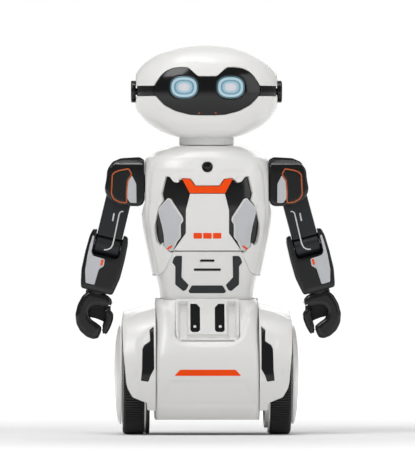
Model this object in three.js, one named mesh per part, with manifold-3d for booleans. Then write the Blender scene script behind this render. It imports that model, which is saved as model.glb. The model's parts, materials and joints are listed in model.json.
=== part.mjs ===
// Two-wheel balancing robot, a table-top robot kit with a swivelling head and jointed arms.
// Units are millimetres. +Z is up, the robot faces -Y, and its own left side is +X.
// The origin lies on the floor, midway between the wheels and under the axle.
import * as THREE from "three";
import { mergeVertices } from "three/addons/utils/BufferGeometryUtils.js";
import Module from "manifold-3d";

const wasm = await Module();
wasm.setup();

// ---------------------------------------------------------------- driving dimensions

const GAP = 0.4; // clearance between neighbouring moulded pieces
const WALL = 2.4; // moulded wall
const SEAM_Y = 4; // plane between front and back shells
const SEAM_GAP = 0.3;
const FIT = 0.3; // round an insert that is pressed into a recess
const REACH = 70; // every cutter ends outside the robot
const SIDES = [["left", 1], ["right", -1]];

const WHEEL = {
  radius: 46, // over the corners of the tyre's sides
  sides: 24,
  innerX: 48.1, // inboard face of the wide tyre
  outerX: 65,
  flange: 1.2, // rim ridge between the wide tyre and the narrow grip ring
  gripRing: 2.6,
  rimRadius: 41,
  flangeRadius: 44.6,
  capRadius: 38,
  capRise: 5.4,
  capWall: 1.8,
  axleRadius: 2,
};
const AXLE_Z = WHEEL.radius * Math.cos(Math.PI / WHEEL.sides); // one flat side of the tyre lies on z = 0

const HEAD = { z: 262.5, a: 54.4, b: 37, c: 37.5, power: 2.3, bandLow: -3.6, bandHigh: 4.2, bandSink: 0.9 };
const EYE = { x: 17.9, z: 265.4, a: 10.3, b: 8.1, sides: 16 };
const VISOR_DEPTH = 1.9;
const EAR = { radius: 8.6, thick: 3, stem: 2.8 };
const NECK = { radius: 20.8, bottomZ: 221, topZ: 231, spigot: 11.6, spigotLength: 12 };
const HEAD_CELLS = 7; // across each face of the box the head is pushed out from

const SHOULDER = { pitchZ: 192, sideX: 47.1, pivotX: 65.6, pivotZ: 186.9, sweep: 21.8, shaft: 7 };
const ARM = { tilt: { left: 15, right: 13.5 }, length: 44, halfWidth: 10, halfDepth: 8, barrel: 8.4 };
const FOREARM = {
  length: 36,
  top: 15.5,
  wrist: 12.4,
  halfDepth: 9,
  earHeight: 10.8,
  wristShaft: 4,
  shaftDepth: 9,
};
const HAND = {
  top: 36.6,
  hole: [-4.7, -52.8],
  holeRadius: 6.4,
  halfDepth: 8.5,
  hinge: [-10.6, -42.4],
  earRadius: 3.3,
  thumbWidth: 10, // between the ears of the hinge
};

// ---------------------------------------------------------------- solids and meshes

// Turns a closed three.js geometry into a manifold solid with its faces pointing out.
function solid(geometry) {
  const bare = geometry.index ? geometry.toNonIndexed() : geometry.clone();
  bare.deleteAttribute("normal");
  bare.deleteAttribute("uv");
  const merged = mergeVertices(bare, 1e-4);
  const index = merged.index.array;
  const triVerts = [];
  for (let i = 0; i < index.length; i += 3) {
    const [a, b, c] = [index[i], index[i + 1], index[i + 2]];
    if (a !== b && b !== c && c !== a) triVerts.push(a, b, c);
  }
  const make = (list) =>
    new wasm.Manifold(
      new wasm.Mesh({
        numProp: 3,
        vertProperties: new Float32Array(merged.attributes.position.array),
        triVerts: new Uint32Array(list),
      }),
    );
  const made = make(triVerts);
  return made.volume() >= 0 ? made : make(triVerts.reverse());
}

function geometryOf(made) {
  const data = made.getMesh();
  const positions = new Float32Array(data.numVert * 3);
  for (let i = 0; i < data.numVert; i++) {
    const at = i * data.numProp;
    positions.set(data.vertProperties.subarray(at, at + 3), i * 3);
  }
  const geometry = new THREE.BufferGeometry();
  geometry.setAttribute("position", new THREE.BufferAttribute(positions, 3));
  geometry.setIndex(new THREE.BufferAttribute(new Uint32Array(data.triVerts), 1));
  geometry.computeVertexNormals();
  return geometry;
}

const unite = (...parts) => parts.reduce((a, b) => a.add(b));
const cut = (body, ...tools) => tools.reduce((a, b) => a.subtract(b), body);
const common = (a, b) => a.intersect(b);

// The largest single body of a solid, without the slivers that a cut can leave.
function main(made) {
  const bodies = made.decompose();
  return bodies.reduce((a, b) => (a.volume() > b.volume() ? a : b));
}

// ---------------------------------------------------------------- shape helpers

const range = (n) => Array.from({ length: n }, (_, i) => i);
const mirrorX = (points) => points.map(([x, z]) => [-x, z]).reverse();
const bothSides = (points) => [...points, ...mirrorX(points)];
const sideOf = (points, sign) => (sign > 0 ? points : mirrorX(points));

function box(x0, x1, y0, y1, z0, z1) {
  const geometry = new THREE.BoxGeometry(x1 - x0, y1 - y0, z1 - z0);
  geometry.translate((x0 + x1) / 2, (y0 + y1) / 2, (z0 + z1) / 2);
  return solid(geometry);
}

// A straight bar of a section drawn in x and z, from y0 to y1.
function prism(points, y0, y1) {
  const shape = new THREE.Shape(points.map(([x, z]) => new THREE.Vector2(x, z)));
  const geometry = new THREE.ExtrudeGeometry(shape, { depth: y1 - y0, bevelEnabled: false });
  geometry.rotateX(Math.PI / 2);
  geometry.translate(0, y1, 0);
  return solid(geometry);
}

// A bar of a section drawn in y and z, from x0 to x1.
function prismX(points, x0, x1) {
  const shape = new THREE.Shape(points.map(([y, z]) => new THREE.Vector2(y, z)));
  const geometry = new THREE.ExtrudeGeometry(shape, { depth: x1 - x0, bevelEnabled: false });
  geometry.applyMatrix4(new THREE.Matrix4().set(0, 0, 1, x0, 1, 0, 0, 0, 0, 1, 0, 0, 0, 0, 0, 1));
  return solid(geometry);
}

// A round bar along an axis, from low to high on it, centred on the other two coordinates.
function rod(axis, radius, low, high, centre = [0, 0, 0], sides = 16) {
  const geometry = new THREE.CylinderGeometry(radius, radius, high - low, sides);
  geometry.translate(0, (low + high) / 2, 0);
  if (axis === "x") geometry.rotateZ(-Math.PI / 2);
  if (axis === "z") geometry.rotateX(Math.PI / 2);
  geometry.translate(...centre);
  return solid(geometry);
}

// A turned piece about the x axis. The profile is a closed loop of [radius, x].
function turned(profile, sides, turn = 0) {
  const points = [...profile, profile[0]].map(([r, x]) => new THREE.Vector2(r, x));
  const geometry = new THREE.LatheGeometry(points, sides, turn);
  geometry.rotateZ(-Math.PI / 2);
  return solid(geometry);
}

// Rounds every corner of an outline by a radius, with a few points on each arc.
function rounded(points, radius, steps = 3) {
  const out = [];
  points.forEach((corner, i) => {
    const c = new THREE.Vector2(...corner);
    const before = new THREE.Vector2(...points[(i + points.length - 1) % points.length]).sub(c);
    const after = new THREE.Vector2(...points[(i + 1) % points.length]).sub(c);
    const reach = Math.min(radius, before.length() * 0.45, after.length() * 0.45);
    const a = c.clone().addScaledVector(before.normalize(), reach);
    const b = c.clone().addScaledVector(after.normalize(), reach);
    range(steps + 1).forEach((k) => {
      const t = k / steps;
      const x = (1 - t) ** 2 * a.x + 2 * t * (1 - t) * c.x + t * t * b.x;
      const y = (1 - t) ** 2 * a.y + 2 * t * (1 - t) * c.y + t * t * b.y;
      out.push([x, y]);
    });
  });
  return out;
}

// Moves an outline's edges outwards by a distance, or inwards by a negative one.
function grown(points, distance) {
  const area = points.reduce((sum, [x, y], i) => {
    const [u, v] = points[(i + 1) % points.length];
    return sum + x * v - u * y;
  }, 0);
  const turn = Math.sign(area);
  return points.map((corner, i) => {
    const p = new THREE.Vector2(...corner);
    const before = p.clone().sub(new THREE.Vector2(...points[(i + points.length - 1) % points.length]));
    const after = new THREE.Vector2(...points[(i + 1) % points.length]).sub(p);
    const n1 = new THREE.Vector2(before.y, -before.x).normalize();
    const n2 = new THREE.Vector2(after.y, -after.x).normalize();
    const bisector = n1.add(n2).normalize();
    const spread = Math.max(0.5, bisector.dot(n2));
    return p.addScaledVector(bisector, (turn * distance) / spread).toArray();
  });
}

const power = (value, exponent) => Math.sign(value) * Math.abs(value) ** exponent;

// A closed skin over a list of rings, each a list of Vector3 with the same count.
function skinned(rings) {
  const count = rings[0].length;
  const positions = [];
  const push = (...vectors) => vectors.forEach((v) => positions.push(v.x, v.y, v.z));
  for (let r = 0; r + 1 < rings.length; r++)
    for (let i = 0; i < count; i++) {
      const j = (i + 1) % count;
      push(rings[r][i], rings[r][j], rings[r + 1][j]);
      push(rings[r][i], rings[r + 1][j], rings[r + 1][i]);
    }
  [rings[0], rings[rings.length - 1]].forEach((ring, end) => {
    const centre = ring.reduce((sum, v) => sum.add(v), new THREE.Vector3()).divideScalar(count);
    ring.forEach((v, i) => {
      const next = ring[(i + 1) % count];
      if (end) push(centre, v, next);
      else push(centre, next, v);
    });
  });
  const geometry = new THREE.BufferGeometry();
  geometry.setAttribute("position", new THREE.Float32BufferAttribute(positions, 3));
  return solid(geometry);
}

// A body stacked from level superellipse sections [z, half width, front depth, back depth, power].
// inset shrinks every section, which makes the form's own inner surface.
function stack(sections, inset = 0, sides = 28) {
  return skinned(
    sections.map(([z, w, f, b, n]) =>
      range(sides).map((i) => {
        const angle = (2 * Math.PI * i) / sides;
        const s = power(Math.sin(angle), 2 / n);
        const depth = s < 0 ? f - inset : b - inset;
        return new THREE.Vector3((w - inset) * power(Math.cos(angle), 2 / n), depth * s, z);
      }),
    ),
  );
}

// A superellipsoid, from a box whose faces are divided and pushed out to the surface.
function superellipsoid(inset, cells) {
  const [a, b, c] = [HEAD.a - inset, HEAD.b - inset, HEAD.c - inset];
  const geometry = new THREE.BoxGeometry(2, 2, 2, cells, cells, cells);
  const at = geometry.attributes.position;
  for (let i = 0; i < at.count; i++) {
    const v = new THREE.Vector3().fromBufferAttribute(at, i);
    v.set(Math.tan((v.x * Math.PI) / 4), Math.tan((v.y * Math.PI) / 4), Math.tan((v.z * Math.PI) / 4));
    v.multiply(new THREE.Vector3(a, b, c));
    const n = HEAD.power;
    const size = (Math.abs(v.x / a) ** n + Math.abs(v.y / b) ** n + Math.abs(v.z / c) ** n) ** (1 / n);
    v.divideScalar(size);
    at.setXYZ(i, v.x, v.y, v.z + HEAD.z);
  }
  return solid(geometry);
}

// A cutter drawn in x and z that meets the front faces only.
const frontCutter = (outline) => prism(outline, -REACH, -2);
const frontHalf = (low, high) => box(-REACH, REACH, -REACH, SEAM_Y - SEAM_GAP / 2, low, high);
const backHalf = (low, high) => box(-REACH, REACH, SEAM_Y + SEAM_GAP / 2, REACH, low, high);

// The layer of a form between two depths under its surface, inside a front outline.
function layer(form, outline, outer, inner) {
  return cut(common(form(outer), frontCutter(outline)), form(inner));
}

// ---------------------------------------------------------------- materials

const plastic = (colour, roughness = 0.3) =>
  new THREE.MeshStandardMaterial({ color: colour, roughness, metalness: 0 });
const MATERIAL = {
  white: plastic("#e6e6e3"),
  grey: plastic("#bfc1c0", 0.4),
  silver: plastic("#b4b8bc", 0.35),
  black: plastic("#121314", 0.15),
  satinBlack: plastic("#232527", 0.45),
  orange: plastic("#f05010", 0.4),
  rubber: plastic("#0c0c0d", 0.8),
  visor: plastic("#060708", 0.08),
  eye: plastic("#9fdcf5", 0.3),
  board: plastic("#1d5c38", 0.6),
  steel: new THREE.MeshStandardMaterial({ color: "#9a9c9f", roughness: 0.3, metalness: 1 }),
};

const robot = new THREE.Group();

function add(name, made, material, parent = robot) {
  const mesh = new THREE.Mesh(geometryOf(main(made)), MATERIAL[material]);
  mesh.name = name;
  parent.add(mesh);
}

// ---------------------------------------------------------------- head

const VISOR = rounded(
  bothSides([
    [7.8, 274.1],
    [14, 280.2],
    [26, 280.3],
    [33, 277.6],
    [37.5, 272.4],
    [40.9, 266.2],
    [40.9, 259.9],
    [35.5, 253.4],
    [29, 249.4],
    [20, 246.4],
    [8, 245.1],
  ]),
  2.2,
  2,
);

const eyeHole = (sign, grow) =>
  range(EYE.sides).map((i) => {
    const angle = (sign * 2 * Math.PI * i) / EYE.sides;
    return [sign * EYE.x + (EYE.a + grow) * Math.cos(angle), EYE.z + (EYE.b + grow) * Math.sin(angle)];
  });

function buildHead() {
  const outside = superellipsoid(0, HEAD_CELLS);
  const inside = superellipsoid(WALL, 5);
  const sunk = superellipsoid(HEAD.bandSink, HEAD_CELLS);
  const visorGap = frontCutter(grown(VISOR, GAP));
  const neckGap = rod("z", NECK.radius + GAP, 200, NECK.topZ + GAP);
  const [bandLow, bandHigh] = [HEAD.z + HEAD.bandLow, HEAD.z + HEAD.bandHigh];
  const upper = box(-REACH, REACH, -REACH, REACH, bandHigh + FIT, 310);
  const lower = box(-REACH, REACH, -REACH, REACH, 200, bandLow - FIT);
  const middle = box(-REACH, REACH, -REACH, REACH, bandLow, bandHigh);
  const hollow = cut(outside, inside, visorGap);
  const stems = rod("x", EAR.stem + FIT, -REACH, REACH, [0, 0, HEAD.z]);
  add("head_upper_shell", common(hollow, upper), "white");
  add("head_lower_shell", cut(common(hollow, lower), neckGap), "white");
  add("head_band", cut(common(cut(sunk, inside, visorGap), middle), stems), "black");
}

function buildFace() {
  const proud = superellipsoid(-0.1, HEAD_CELLS);
  const lens = cut(common(proud, frontCutter(VISOR)), superellipsoid(VISOR_DEPTH, HEAD_CELLS));
  add("visor", cut(lens, frontCutter(eyeHole(1, FIT)), frontCutter(eyeHole(-1, FIT))), "visor");
  for (const [side, sign] of SIDES) {
    const disc = common(superellipsoid(0.1, HEAD_CELLS), frontCutter(eyeHole(sign, 0)));
    add(`eye_light_${side}`, cut(disc, superellipsoid(VISOR_DEPTH + 0.5, HEAD_CELLS)), "eye");
    add(`ear_cap_${side}`, earCap(sign), "black");
  }
}

function earCap(sign) {
  const low = HEAD.a + GAP;
  const cap = turned(
    [
      [0, low - 8],
      [EAR.stem, low - 8],
      [EAR.stem, low],
      [EAR.radius - 0.8, low],
      [EAR.radius, low + 0.8],
      [EAR.radius - 0.4, low + EAR.thick - 1.2],
      [EAR.radius - 1.6, low + EAR.thick],
      [0, low + EAR.thick],
    ],
    20,
  );
  return (sign > 0 ? cap : cap.mirror([1, 0, 0])).translate([0, 0, HEAD.z]);
}

function buildNeck() {
  const { radius, bottomZ, topZ, spigot, spigotLength } = NECK;
  const neck = cut(
    unite(
      rod("z", radius, bottomZ, topZ, [0, 0, 0], 30),
      rod("z", spigot, bottomZ - spigotLength, bottomZ + 1),
    ),
    rod("z", spigot - WALL, 200, 240),
    rod("z", radius - WALL, bottomZ + WALL, 240, [0, 0, 0], 20),
  );
  add("neck_tube", neck, "grey");
}

// ---------------------------------------------------------------- torso

const TORSO = [
  [121, 41.2, 31, 28.5, 2.7],
  [138, 44.6, 33.8, 30.5, 2.7],
  [163, 49.1, 37, 32.8, 2.7],
  [175, 49.9, 38, 33.2, 2.7],
  [188, 49.7, 37.8, 33, 2.7],
  [200, 48.6, 36, 32, 2.7],
  [208, 45.8, 33.2, 30, 2.6],
  [213.5, 41.4, 30, 27.6, 2.5],
  [217.5, 36.2, 26.8, 25.2, 2.4],
  [220.6, 29, 22.4, 22.2, 2.2],
];
const WAIST = [
  [97, 34.4, 27, 24.6, 2.7],
  [113, 36.6, 29, 26, 2.7],
  [121, 38.3, 30.4, 27, 2.7],
  [140.4, 41.4, 33.6, 29, 2.7],
];
const torsoForm = (inset) => stack(TORSO, inset);
const waistForm = (inset) => stack(WAIST, inset);

// Opening beside the chest plate, which shows the black inset behind the flank panel.
const WINDOW = [
  [31.9, 196.9],
  [34.9, 183.1],
  [33.2, 178.2],
  [36.9, 172.4],
  [38.6, 169.4],
  [40.2, 161.2],
  [40, 152.4],
  [38.9, 147.3],
  [36.7, 144.8],
  [34.4, 147],
  [32.9, 144.4],
  [27.9, 139.3],
  [26.4, 140.3],
  [22.7, 145.8],
  [17, 154.1],
  [17, 171.6],
  [14.1, 184.5],
  [19.9, 195.3],
  [22.4, 194.8],
  [27.3, 194.9],
];
const FLANK = rounded(
  [
    [30.3, 180.5],
    [36.9, 172.4],
    [35.7, 163.2],
    [33.2, 151.7],
    [32.9, 144.4],
    [27.9, 139.3],
    [26.2, 140.6],
    [22.7, 145.8],
    [22.7, 154.7],
    [21.8, 160.1],
    [19.1, 164.1],
    [27.8, 179.2],
  ],
  0.8,
  1,
);
const CHEST_BAND = bothSides([
  [9.5, 190],
  [13.3, 195.2],
  [19.9, 195.5],
  [13.8, 184.5],
]);
const CHEST_PLATE = bothSides([
  [13.6, 184],
  [16.6, 171.6],
  [16.6, 154],
  [22.3, 146],
  [26, 140.7],
]);
const SHELL_FOOT = [
  [-70, 130],
  [-44, 125],
  [-42.2, 123.6],
  [-38.1, 121.3],
  [-33.8, 124.6],
  [-26.8, 137.8],
  [-26.2, 140.3],
  [26.2, 140.3],
  [26.8, 137.8],
  [33.8, 124.6],
  [38.1, 121.3],
  [42.2, 123.6],
  [44, 125],
  [70, 130],
  [70, 90],
  [-70, 90],
];
const BELLY_EDGE = [
  [25.9, 141],
  [26.4, 137.6],
  [33.4, 124.2],
  [38.1, 120.8],
  [42, 123.2],
  [70, 129.5],
  [70, 150],
];
const SENSOR = { z: 204.5, radius: 3.9 };
const SIDE_TRIM = [
  [20.2, 136.7],
  [25, 136],
  [27.6, 131.5],
  [25, 128.6],
  [25, 114.7],
  [19.5, 109.9],
  [18, 109.9],
  [15.1, 114.4],
  [20.4, 119.8],
];
const FOOT_TRIM = bothSides([
  [12.5, 114.1],
  [15.5, 109.9],
  [14.3, 108.1],
]);
const slot = (halfWidth, z, halfHeight) => {
  const ends = bothSides([
    [halfWidth, z + halfHeight],
    [halfWidth, z - halfHeight],
  ]);
  return rounded(ends, halfHeight, 3);
};
const BATTERY_DOOR = { halfWidth: 24, lowZ: 132, highZ: 184 };
const CELL = { radius: 7.1, length: 50, pitch: 14.4, y: 16 }; // four AA cells
const SWITCH = { z: 196, travel: 4 };

// The hollow torso with a seat for each shoulder housing.
function torsoShell() {
  const cavity = common(stack(TORSO, WALL, 20), box(-44.5, 44.5, -60, 60, 100, 218));
  const shaftHoles = rod("x", SHOULDER.shaft + GAP, -60, 60, [0, 0, SHOULDER.pitchZ]);
  const neckHole = rod("z", NECK.spigot + GAP, 200, 230);
  const seats = [1, -1].map((sign) => {
    const [near, far] = sign > 0 ? [SHOULDER.sideX, 60] : [-60, -SHOULDER.sideX];
    const round = rod("x", SHOULDER.sweep, near, far, [0, 0, SHOULDER.pitchZ], 28);
    return unite(round, box(near, far, -60, 60, SHOULDER.pitchZ, 225));
  });
  return cut(torsoForm(0), cavity, shaftHoles, neckHole, ...seats);
}

function buildTorsoFront(shell) {
  const front = cut(
    common(shell, frontHalf(110, 230)),
    ...[1, -1].map((sign) => frontCutter(sideOf(grown(WINDOW, 0.35), sign))),
    frontCutter(grown(CHEST_BAND, 0.35)),
    frontCutter(grown(CHEST_PLATE, 0.35)),
    prism(SHELL_FOOT, -REACH, SEAM_Y + 1),
    rod("y", SENSOR.radius + FIT, -60, -2, [0, 0, SENSOR.z]),
  );
  add("torso_front_shell", front, "white");
  add("chest_plate", layer(torsoForm, CHEST_PLATE, -0.5, 2), "white");
  add("chest_band", layer(torsoForm, grown(CHEST_BAND, -0.05), -0.3, 2), "orange");
  for (const [side, sign] of SIDES) {
    const inset = layer(torsoForm, sideOf(grown(WINDOW, 0.9), sign), WALL + 0.5, WALL + 2.2);
    add(`chest_inset_${side}`, common(inset, box(-60, 60, -60, 0, 140.6, 230)), "black");
    add(`flank_panel_${side}`, layer(torsoForm, sideOf(grown(FLANK, -0.1), sign), 0.3, WALL), "silver");
  }
  add("sensor_lens", rod("y", SENSOR.radius, -34.2, -29, [0, 0, SENSOR.z], 28), "visor");
}

function buildTorsoBack(shell) {
  const door = BATTERY_DOOR;
  const doorHole = (grow) =>
    box(-door.halfWidth - grow, door.halfWidth + grow, 10, 60, door.lowZ - grow, door.highZ + grow);
  const switchSlot = box(-6.4, 6.4, 10, 60, SWITCH.z - 2.4, SWITCH.z + 2.4);
  const floor = common(torsoForm(0), backHalf(121, 123));
  const rear = cut(unite(common(shell, backHalf(110, 230)), floor), doorHole(0), switchSlot);
  const waistRear = common(cut(waistForm(0), waistForm(WALL)), backHalf(90, 121.5));
  add("torso_back_shell", unite(rear, waistRear), "white");
  add("battery_door", common(cut(torsoForm(0.3), torsoForm(WALL + 0.2)), doorHole(-0.35)), "white");
  const knob = unite(
    box(-2.6, 2.6, 28, 33.4, SWITCH.z - 1.8, SWITCH.z + 1.8),
    box(-4.2, 4.2, 25.6, 28, SWITCH.z - 2.8, SWITCH.z + 2.8),
  ).translate([-SWITCH.travel / 2, 0, 0]);
  add("power_switch", knob, "satinBlack");
}

function buildBelly() {
  const [trimLow, trimHigh] = [-0.6, 1]; // depths of a trim piece under the waist's surface
  const trimHole = (outline) => layer(waistForm, grown(outline, FIT), -4, trimHigh + 0.3);
  const belly = cut(
    common(waistForm(0), frontHalf(90, 140.1)),
    waistForm(WALL),
    prism(BELLY_EDGE, -REACH, SEAM_Y),
    prism(mirrorX(BELLY_EDGE), -REACH, SEAM_Y),
    frontCutter(slot(5.7, 132.8, 1)),
    frontCutter(slot(10.5, 126, 1.1)),
    trimHole(FOOT_TRIM),
    trimHole(SIDE_TRIM),
    trimHole(mirrorX(SIDE_TRIM)),
  );
  add("belly_shell", belly, "white");
  add("belly_trim_left", layer(waistForm, SIDE_TRIM, trimLow, trimHigh), "satinBlack");
  add("belly_trim_right", layer(waistForm, mirrorX(SIDE_TRIM), trimLow, trimHigh), "satinBlack");
  add("belly_trim_foot", layer(waistForm, FOOT_TRIM, trimLow, trimHigh), "satinBlack");
}

function buildTorsoInside() {
  const { radius, length, pitch, y } = CELL;
  const low = (BATTERY_DOOR.lowZ + BATTERY_DOOR.highZ - length) / 2;
  const cells = range(4).map((i) => rod("z", radius, low, low + length, [pitch * (i - 1.5), y, 0], 16));
  const holder = box(-30, 30, 6, 14.5, 130.5, 185.5);
  add("battery_pack", unite(holder, ...cells), "satinBlack");
  add("main_board", box(-30, 30, -8, -6.4, 135, 190), "board");
  add("speaker", rod("y", 12, -26.5, -14, [0, 0, 127], 24), "satinBlack");
}

// ---------------------------------------------------------------- base and fenders

const BASE = [
  [11.5, 38.6, 40, 38, 6],
  [14.5, 39.8, 43, 40.5, 7],
  [18.6, 40, 46, 43, 8],
  [27, 40, 50.4, 46.5, 8],
  [42, 40, 53, 48.6, 8],
  [60, 40, 50, 46.4, 7],
  [73, 40, 44.4, 42, 6],
  [85, 40, 38.8, 36.6, 5],
  [95, 39.8, 34, 32, 4.2],
  [104.4, 39.2, 31.4, 29, 3.6],
];
const baseForm = (inset) => stack(BASE, inset, 32);
const HIP_PANEL = rounded(bothSides([[24.4, 104.8], [24.4, 76], [20.4, 72.6]]), 2.4, 2);
const PANEL_RECESS = rounded(
  [
    [15.3, 76.2],
    [15.3, 97.5],
    [15.3, 101.9],
    [22, 101.9],
    [22, 80],
    [20, 74.6],
    [13.4, 73.6],
    [11.8, 75.2],
    [-11.8, 75.2],
    [-13.4, 73.6],
    [-20, 74.6],
    [-22, 80],
    [-22, 101.9],
    [-15.3, 101.9],
    [-15.3, 97.5],
    [-15.3, 76.2],
    [-13.6, 77.2],
    [13.6, 77.2],
  ],
  1.6,
  2,
);
const STRIP = [
  [13.1, 99.4],
  [13.1, 80],
  [11.6, 78.5],
  [7.4, 78.5],
  [5.8, 80],
  [5.8, 96.6],
  [8.4, 99.4],
];
const STRIPE = bothSides([[21.2, 49.3], [25.5, 44.7]]);
const FENDER = [
  [40.4, 101],
  [52, 98.2],
  [63.4, 94],
  [64.9, 75],
  [64.4, 64],
  [63.3, 52.5],
  [62.3, 40.2],
  [61.2, 35.8],
  [57.4, 29],
  [48.2, 25.2],
  [46.5, 24.9],
  [46, 18.5],
  [40.4, 17.9],
];
const SIDE_INTAKE = [
  [41.7, 83.3],
  [44.4, 79.8],
  [44, 72.5],
  [48.5, 69.3],
  [49.6, 66.3],
  [49.9, 50],
  [50.9, 41.7],
  [45.3, 40.8],
  [44.3, 45.1],
  [41.2, 50],
];
// Fender sections across the wheel: [x, half depth, half height] about the axle.
const FENDER_ARCH = [
  [40.4, 51.4, 55.2],
  [46, 51.4, 53.8],
  [54, 51, 51.8],
  [61, 50, 49.6],
  [65.2, 48.6, 48.3],
];
const WELL = { radius: 46.9, innerX: 43 };
const AXLE_HOLE = 4.4;
const BASE_MOUTH = [
  [95, 37.4, 31, 29, 4],
  [110, 36.8, 28.9, 26.6, 3.6],
];

function fenderForm(sign, inset) {
  return skinned(
    FENDER_ARCH.map(([x, depth, height]) =>
      range(32).map((i) => {
        const angle = (2 * Math.PI * i) / 32;
        const y = (depth - inset) * Math.cos(angle);
        return new THREE.Vector3(sign * x, y, AXLE_Z + (height - inset) * Math.sin(angle));
      }),
    ),
  );
}

function buildBase() {
  const axleHole = rod("x", AXLE_HOLE, -60, 60, [0, 0, AXLE_Z]);
  const upperCavity = common(stack(BASE, WALL, 24), box(-36, 36, -50, 50, 95, 120));
  const cavity = unite(stack(BASE.slice(1), WALL, 24), upperCavity);
  const shell = cut(baseForm(0), cavity, stack(BASE_MOUTH), axleHole);
  const stripeHole = layer(baseForm, grown(STRIPE, FIT), -5, 1.1);
  const front = cut(common(shell, frontHalf(0, 120)), frontCutter(grown(HIP_PANEL, 0.35)), stripeHole);
  add("base_front_shell", front, "white");
  add("base_stripe", layer(baseForm, STRIPE, -0.2, 0.8), "orange");
  add("base_back_shell", common(shell, backHalf(0, 120)), "white");
}

function buildHipPanel() {
  const recess = layer(baseForm, PANEL_RECESS, -5, 2.6);
  const stripHoles = [1, -1].map((sign) => layer(baseForm, sideOf(grown(STRIP, FIT), sign), -5, 0.1));
  const behindWaist = stack(WAIST.slice(0, 2), -GAP);
  const panel = cut(layer(baseForm, HIP_PANEL, -1, 4), recess, behindWaist, ...stripHoles);
  add("hip_panel", panel, "white");
  for (const [side, sign] of SIDES)
    add(`hip_strip_${side}`, layer(baseForm, sideOf(STRIP, sign), -1.1, -0.3), "black");
}

function buildFender(side, sign) {
  const form = (inset) => fenderForm(sign, inset);
  const [near, far] = sign > 0 ? [WELL.innerX, REACH + 10] : [-REACH - 10, -WELL.innerX];
  const well = rod("x", WELL.radius, near, far, [0, 0, AXLE_Z], 32);
  const axleHole = rod("x", AXLE_HOLE, -60, 60, [0, 0, AXLE_Z]);
  const intakeHole = layer(form, sideOf(grown(SIDE_INTAKE, FIT), sign), -5, WALL);
  const outline = prism(sideOf(FENDER, sign), -REACH, REACH);
  add(`fender_${side}`, cut(common(form(0), outline), well, axleHole, intakeHole), "white");
  add(`side_intake_${side}`, layer(form, sideOf(SIDE_INTAKE, sign), 0.9, 2), "black");
}

function buildMotor(side, sign) {
  const [low, high] = sign > 0 ? [6, 36.8] : [-36.8, -6];
  const motor = unite(
    box(low, high, -12, 14, AXLE_Z - 11, AXLE_Z + 11),
    rod("y", 9.5, 13, 36, [(low + high) / 2, 0, AXLE_Z], 20),
  );
  const [near, far] = sign > 0 ? [15, 40] : [-40, -15];
  const bore = rod("x", WHEEL.axleRadius + FIT, near, far, [0, 0, AXLE_Z]);
  add(`gear_motor_${side}`, cut(motor, bore), "satinBlack");
}

// ---------------------------------------------------------------- wheels

const HUB = { radius: 6.5, low: 46.4, high: 61.5, webIn: 56, webOut: 60 };

function wheelRim(flangeIn, inboard) {
  const { axleRadius, rimRadius, flangeRadius, innerX, outerX } = WHEEL;
  const seat = rimRadius - 0.2; // under the tyre and the grip ring
  return [
    [axleRadius + FIT, HUB.low],
    [HUB.radius, HUB.low],
    [HUB.radius, HUB.webIn],
    [38, HUB.webIn + 2],
    [38, inboard],
    [seat, inboard],
    [seat, flangeIn],
    [flangeRadius, flangeIn],
    [flangeRadius, innerX - 0.15],
    [seat, innerX - 0.15],
    [seat, outerX - 1],
    [37.5, outerX - 1],
    [36.5, HUB.webOut + 1],
    [HUB.radius, HUB.webOut],
    [HUB.radius, HUB.high],
    [axleRadius + FIT, HUB.high],
  ];
}

function tyreProfile() {
  const { radius, rimRadius, innerX, outerX } = WHEEL;
  return [
    [rimRadius + 0.15, innerX + 0.15],
    [radius - 1, innerX + 0.15],
    [radius, innerX + 1],
    [radius, outerX - 1.8],
    [radius - 1.4, outerX - 0.3],
    [rimRadius + 0.15, outerX],
  ];
}

function gripRingProfile(face) {
  const { radius, rimRadius, gripRing } = WHEEL;
  return [
    [rimRadius + 0.1, face],
    [rimRadius + 0.1, face - gripRing],
    [radius - 0.6, face - gripRing],
    [radius, face - gripRing / 2],
    [radius - 0.6, face],
  ];
}

function hubcapProfile() {
  const { capRadius, capRise, capWall, outerX } = WHEEL;
  const base = outerX + 0.3;
  const arc = (steps, inset) =>
    range(steps).map((i) => {
      const angle = (Math.PI / 2) * (i / steps);
      return [(capRadius - inset) * Math.cos(angle), base + (capRise - inset) * Math.sin(angle)];
    });
  const dome = [...arc(4, 0), [0, base + capRise]];
  const dish = [...arc(2, capWall), [0, base + capRise - capWall]];
  return [...dome, ...dish.reverse()];
}

function buildWheel(side, sign) {
  const flangeIn = WHEEL.innerX - 0.15 - WHEEL.flange;
  const place = (made) => (sign > 0 ? made : made.mirror([1, 0, 0])).translate([0, 0, AXLE_Z]);
  const round = (profile) => place(turned(profile, WHEEL.sides, Math.PI / WHEEL.sides));
  add(`wheel_rim_${side}`, round(wheelRim(flangeIn, flangeIn - WHEEL.gripRing - GAP)), "white");
  add(`tyre_${side}`, round(tyreProfile()), "rubber");
  add(`hubcap_${side}`, place(turned(hubcapProfile(), 24)), "white");
  const { axleRadius } = WHEEL;
  const axle = turned([[0, 18], [axleRadius, 18], [axleRadius, 61], [0, 61]], 16);
  add(`wheel_axle_${side}`, place(axle), "steel");
  if (side === "right") add("grip_ring_right", round(gripRingProfile(flangeIn - 0.2)), "rubber");
}

// ---------------------------------------------------------------- arms

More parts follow.
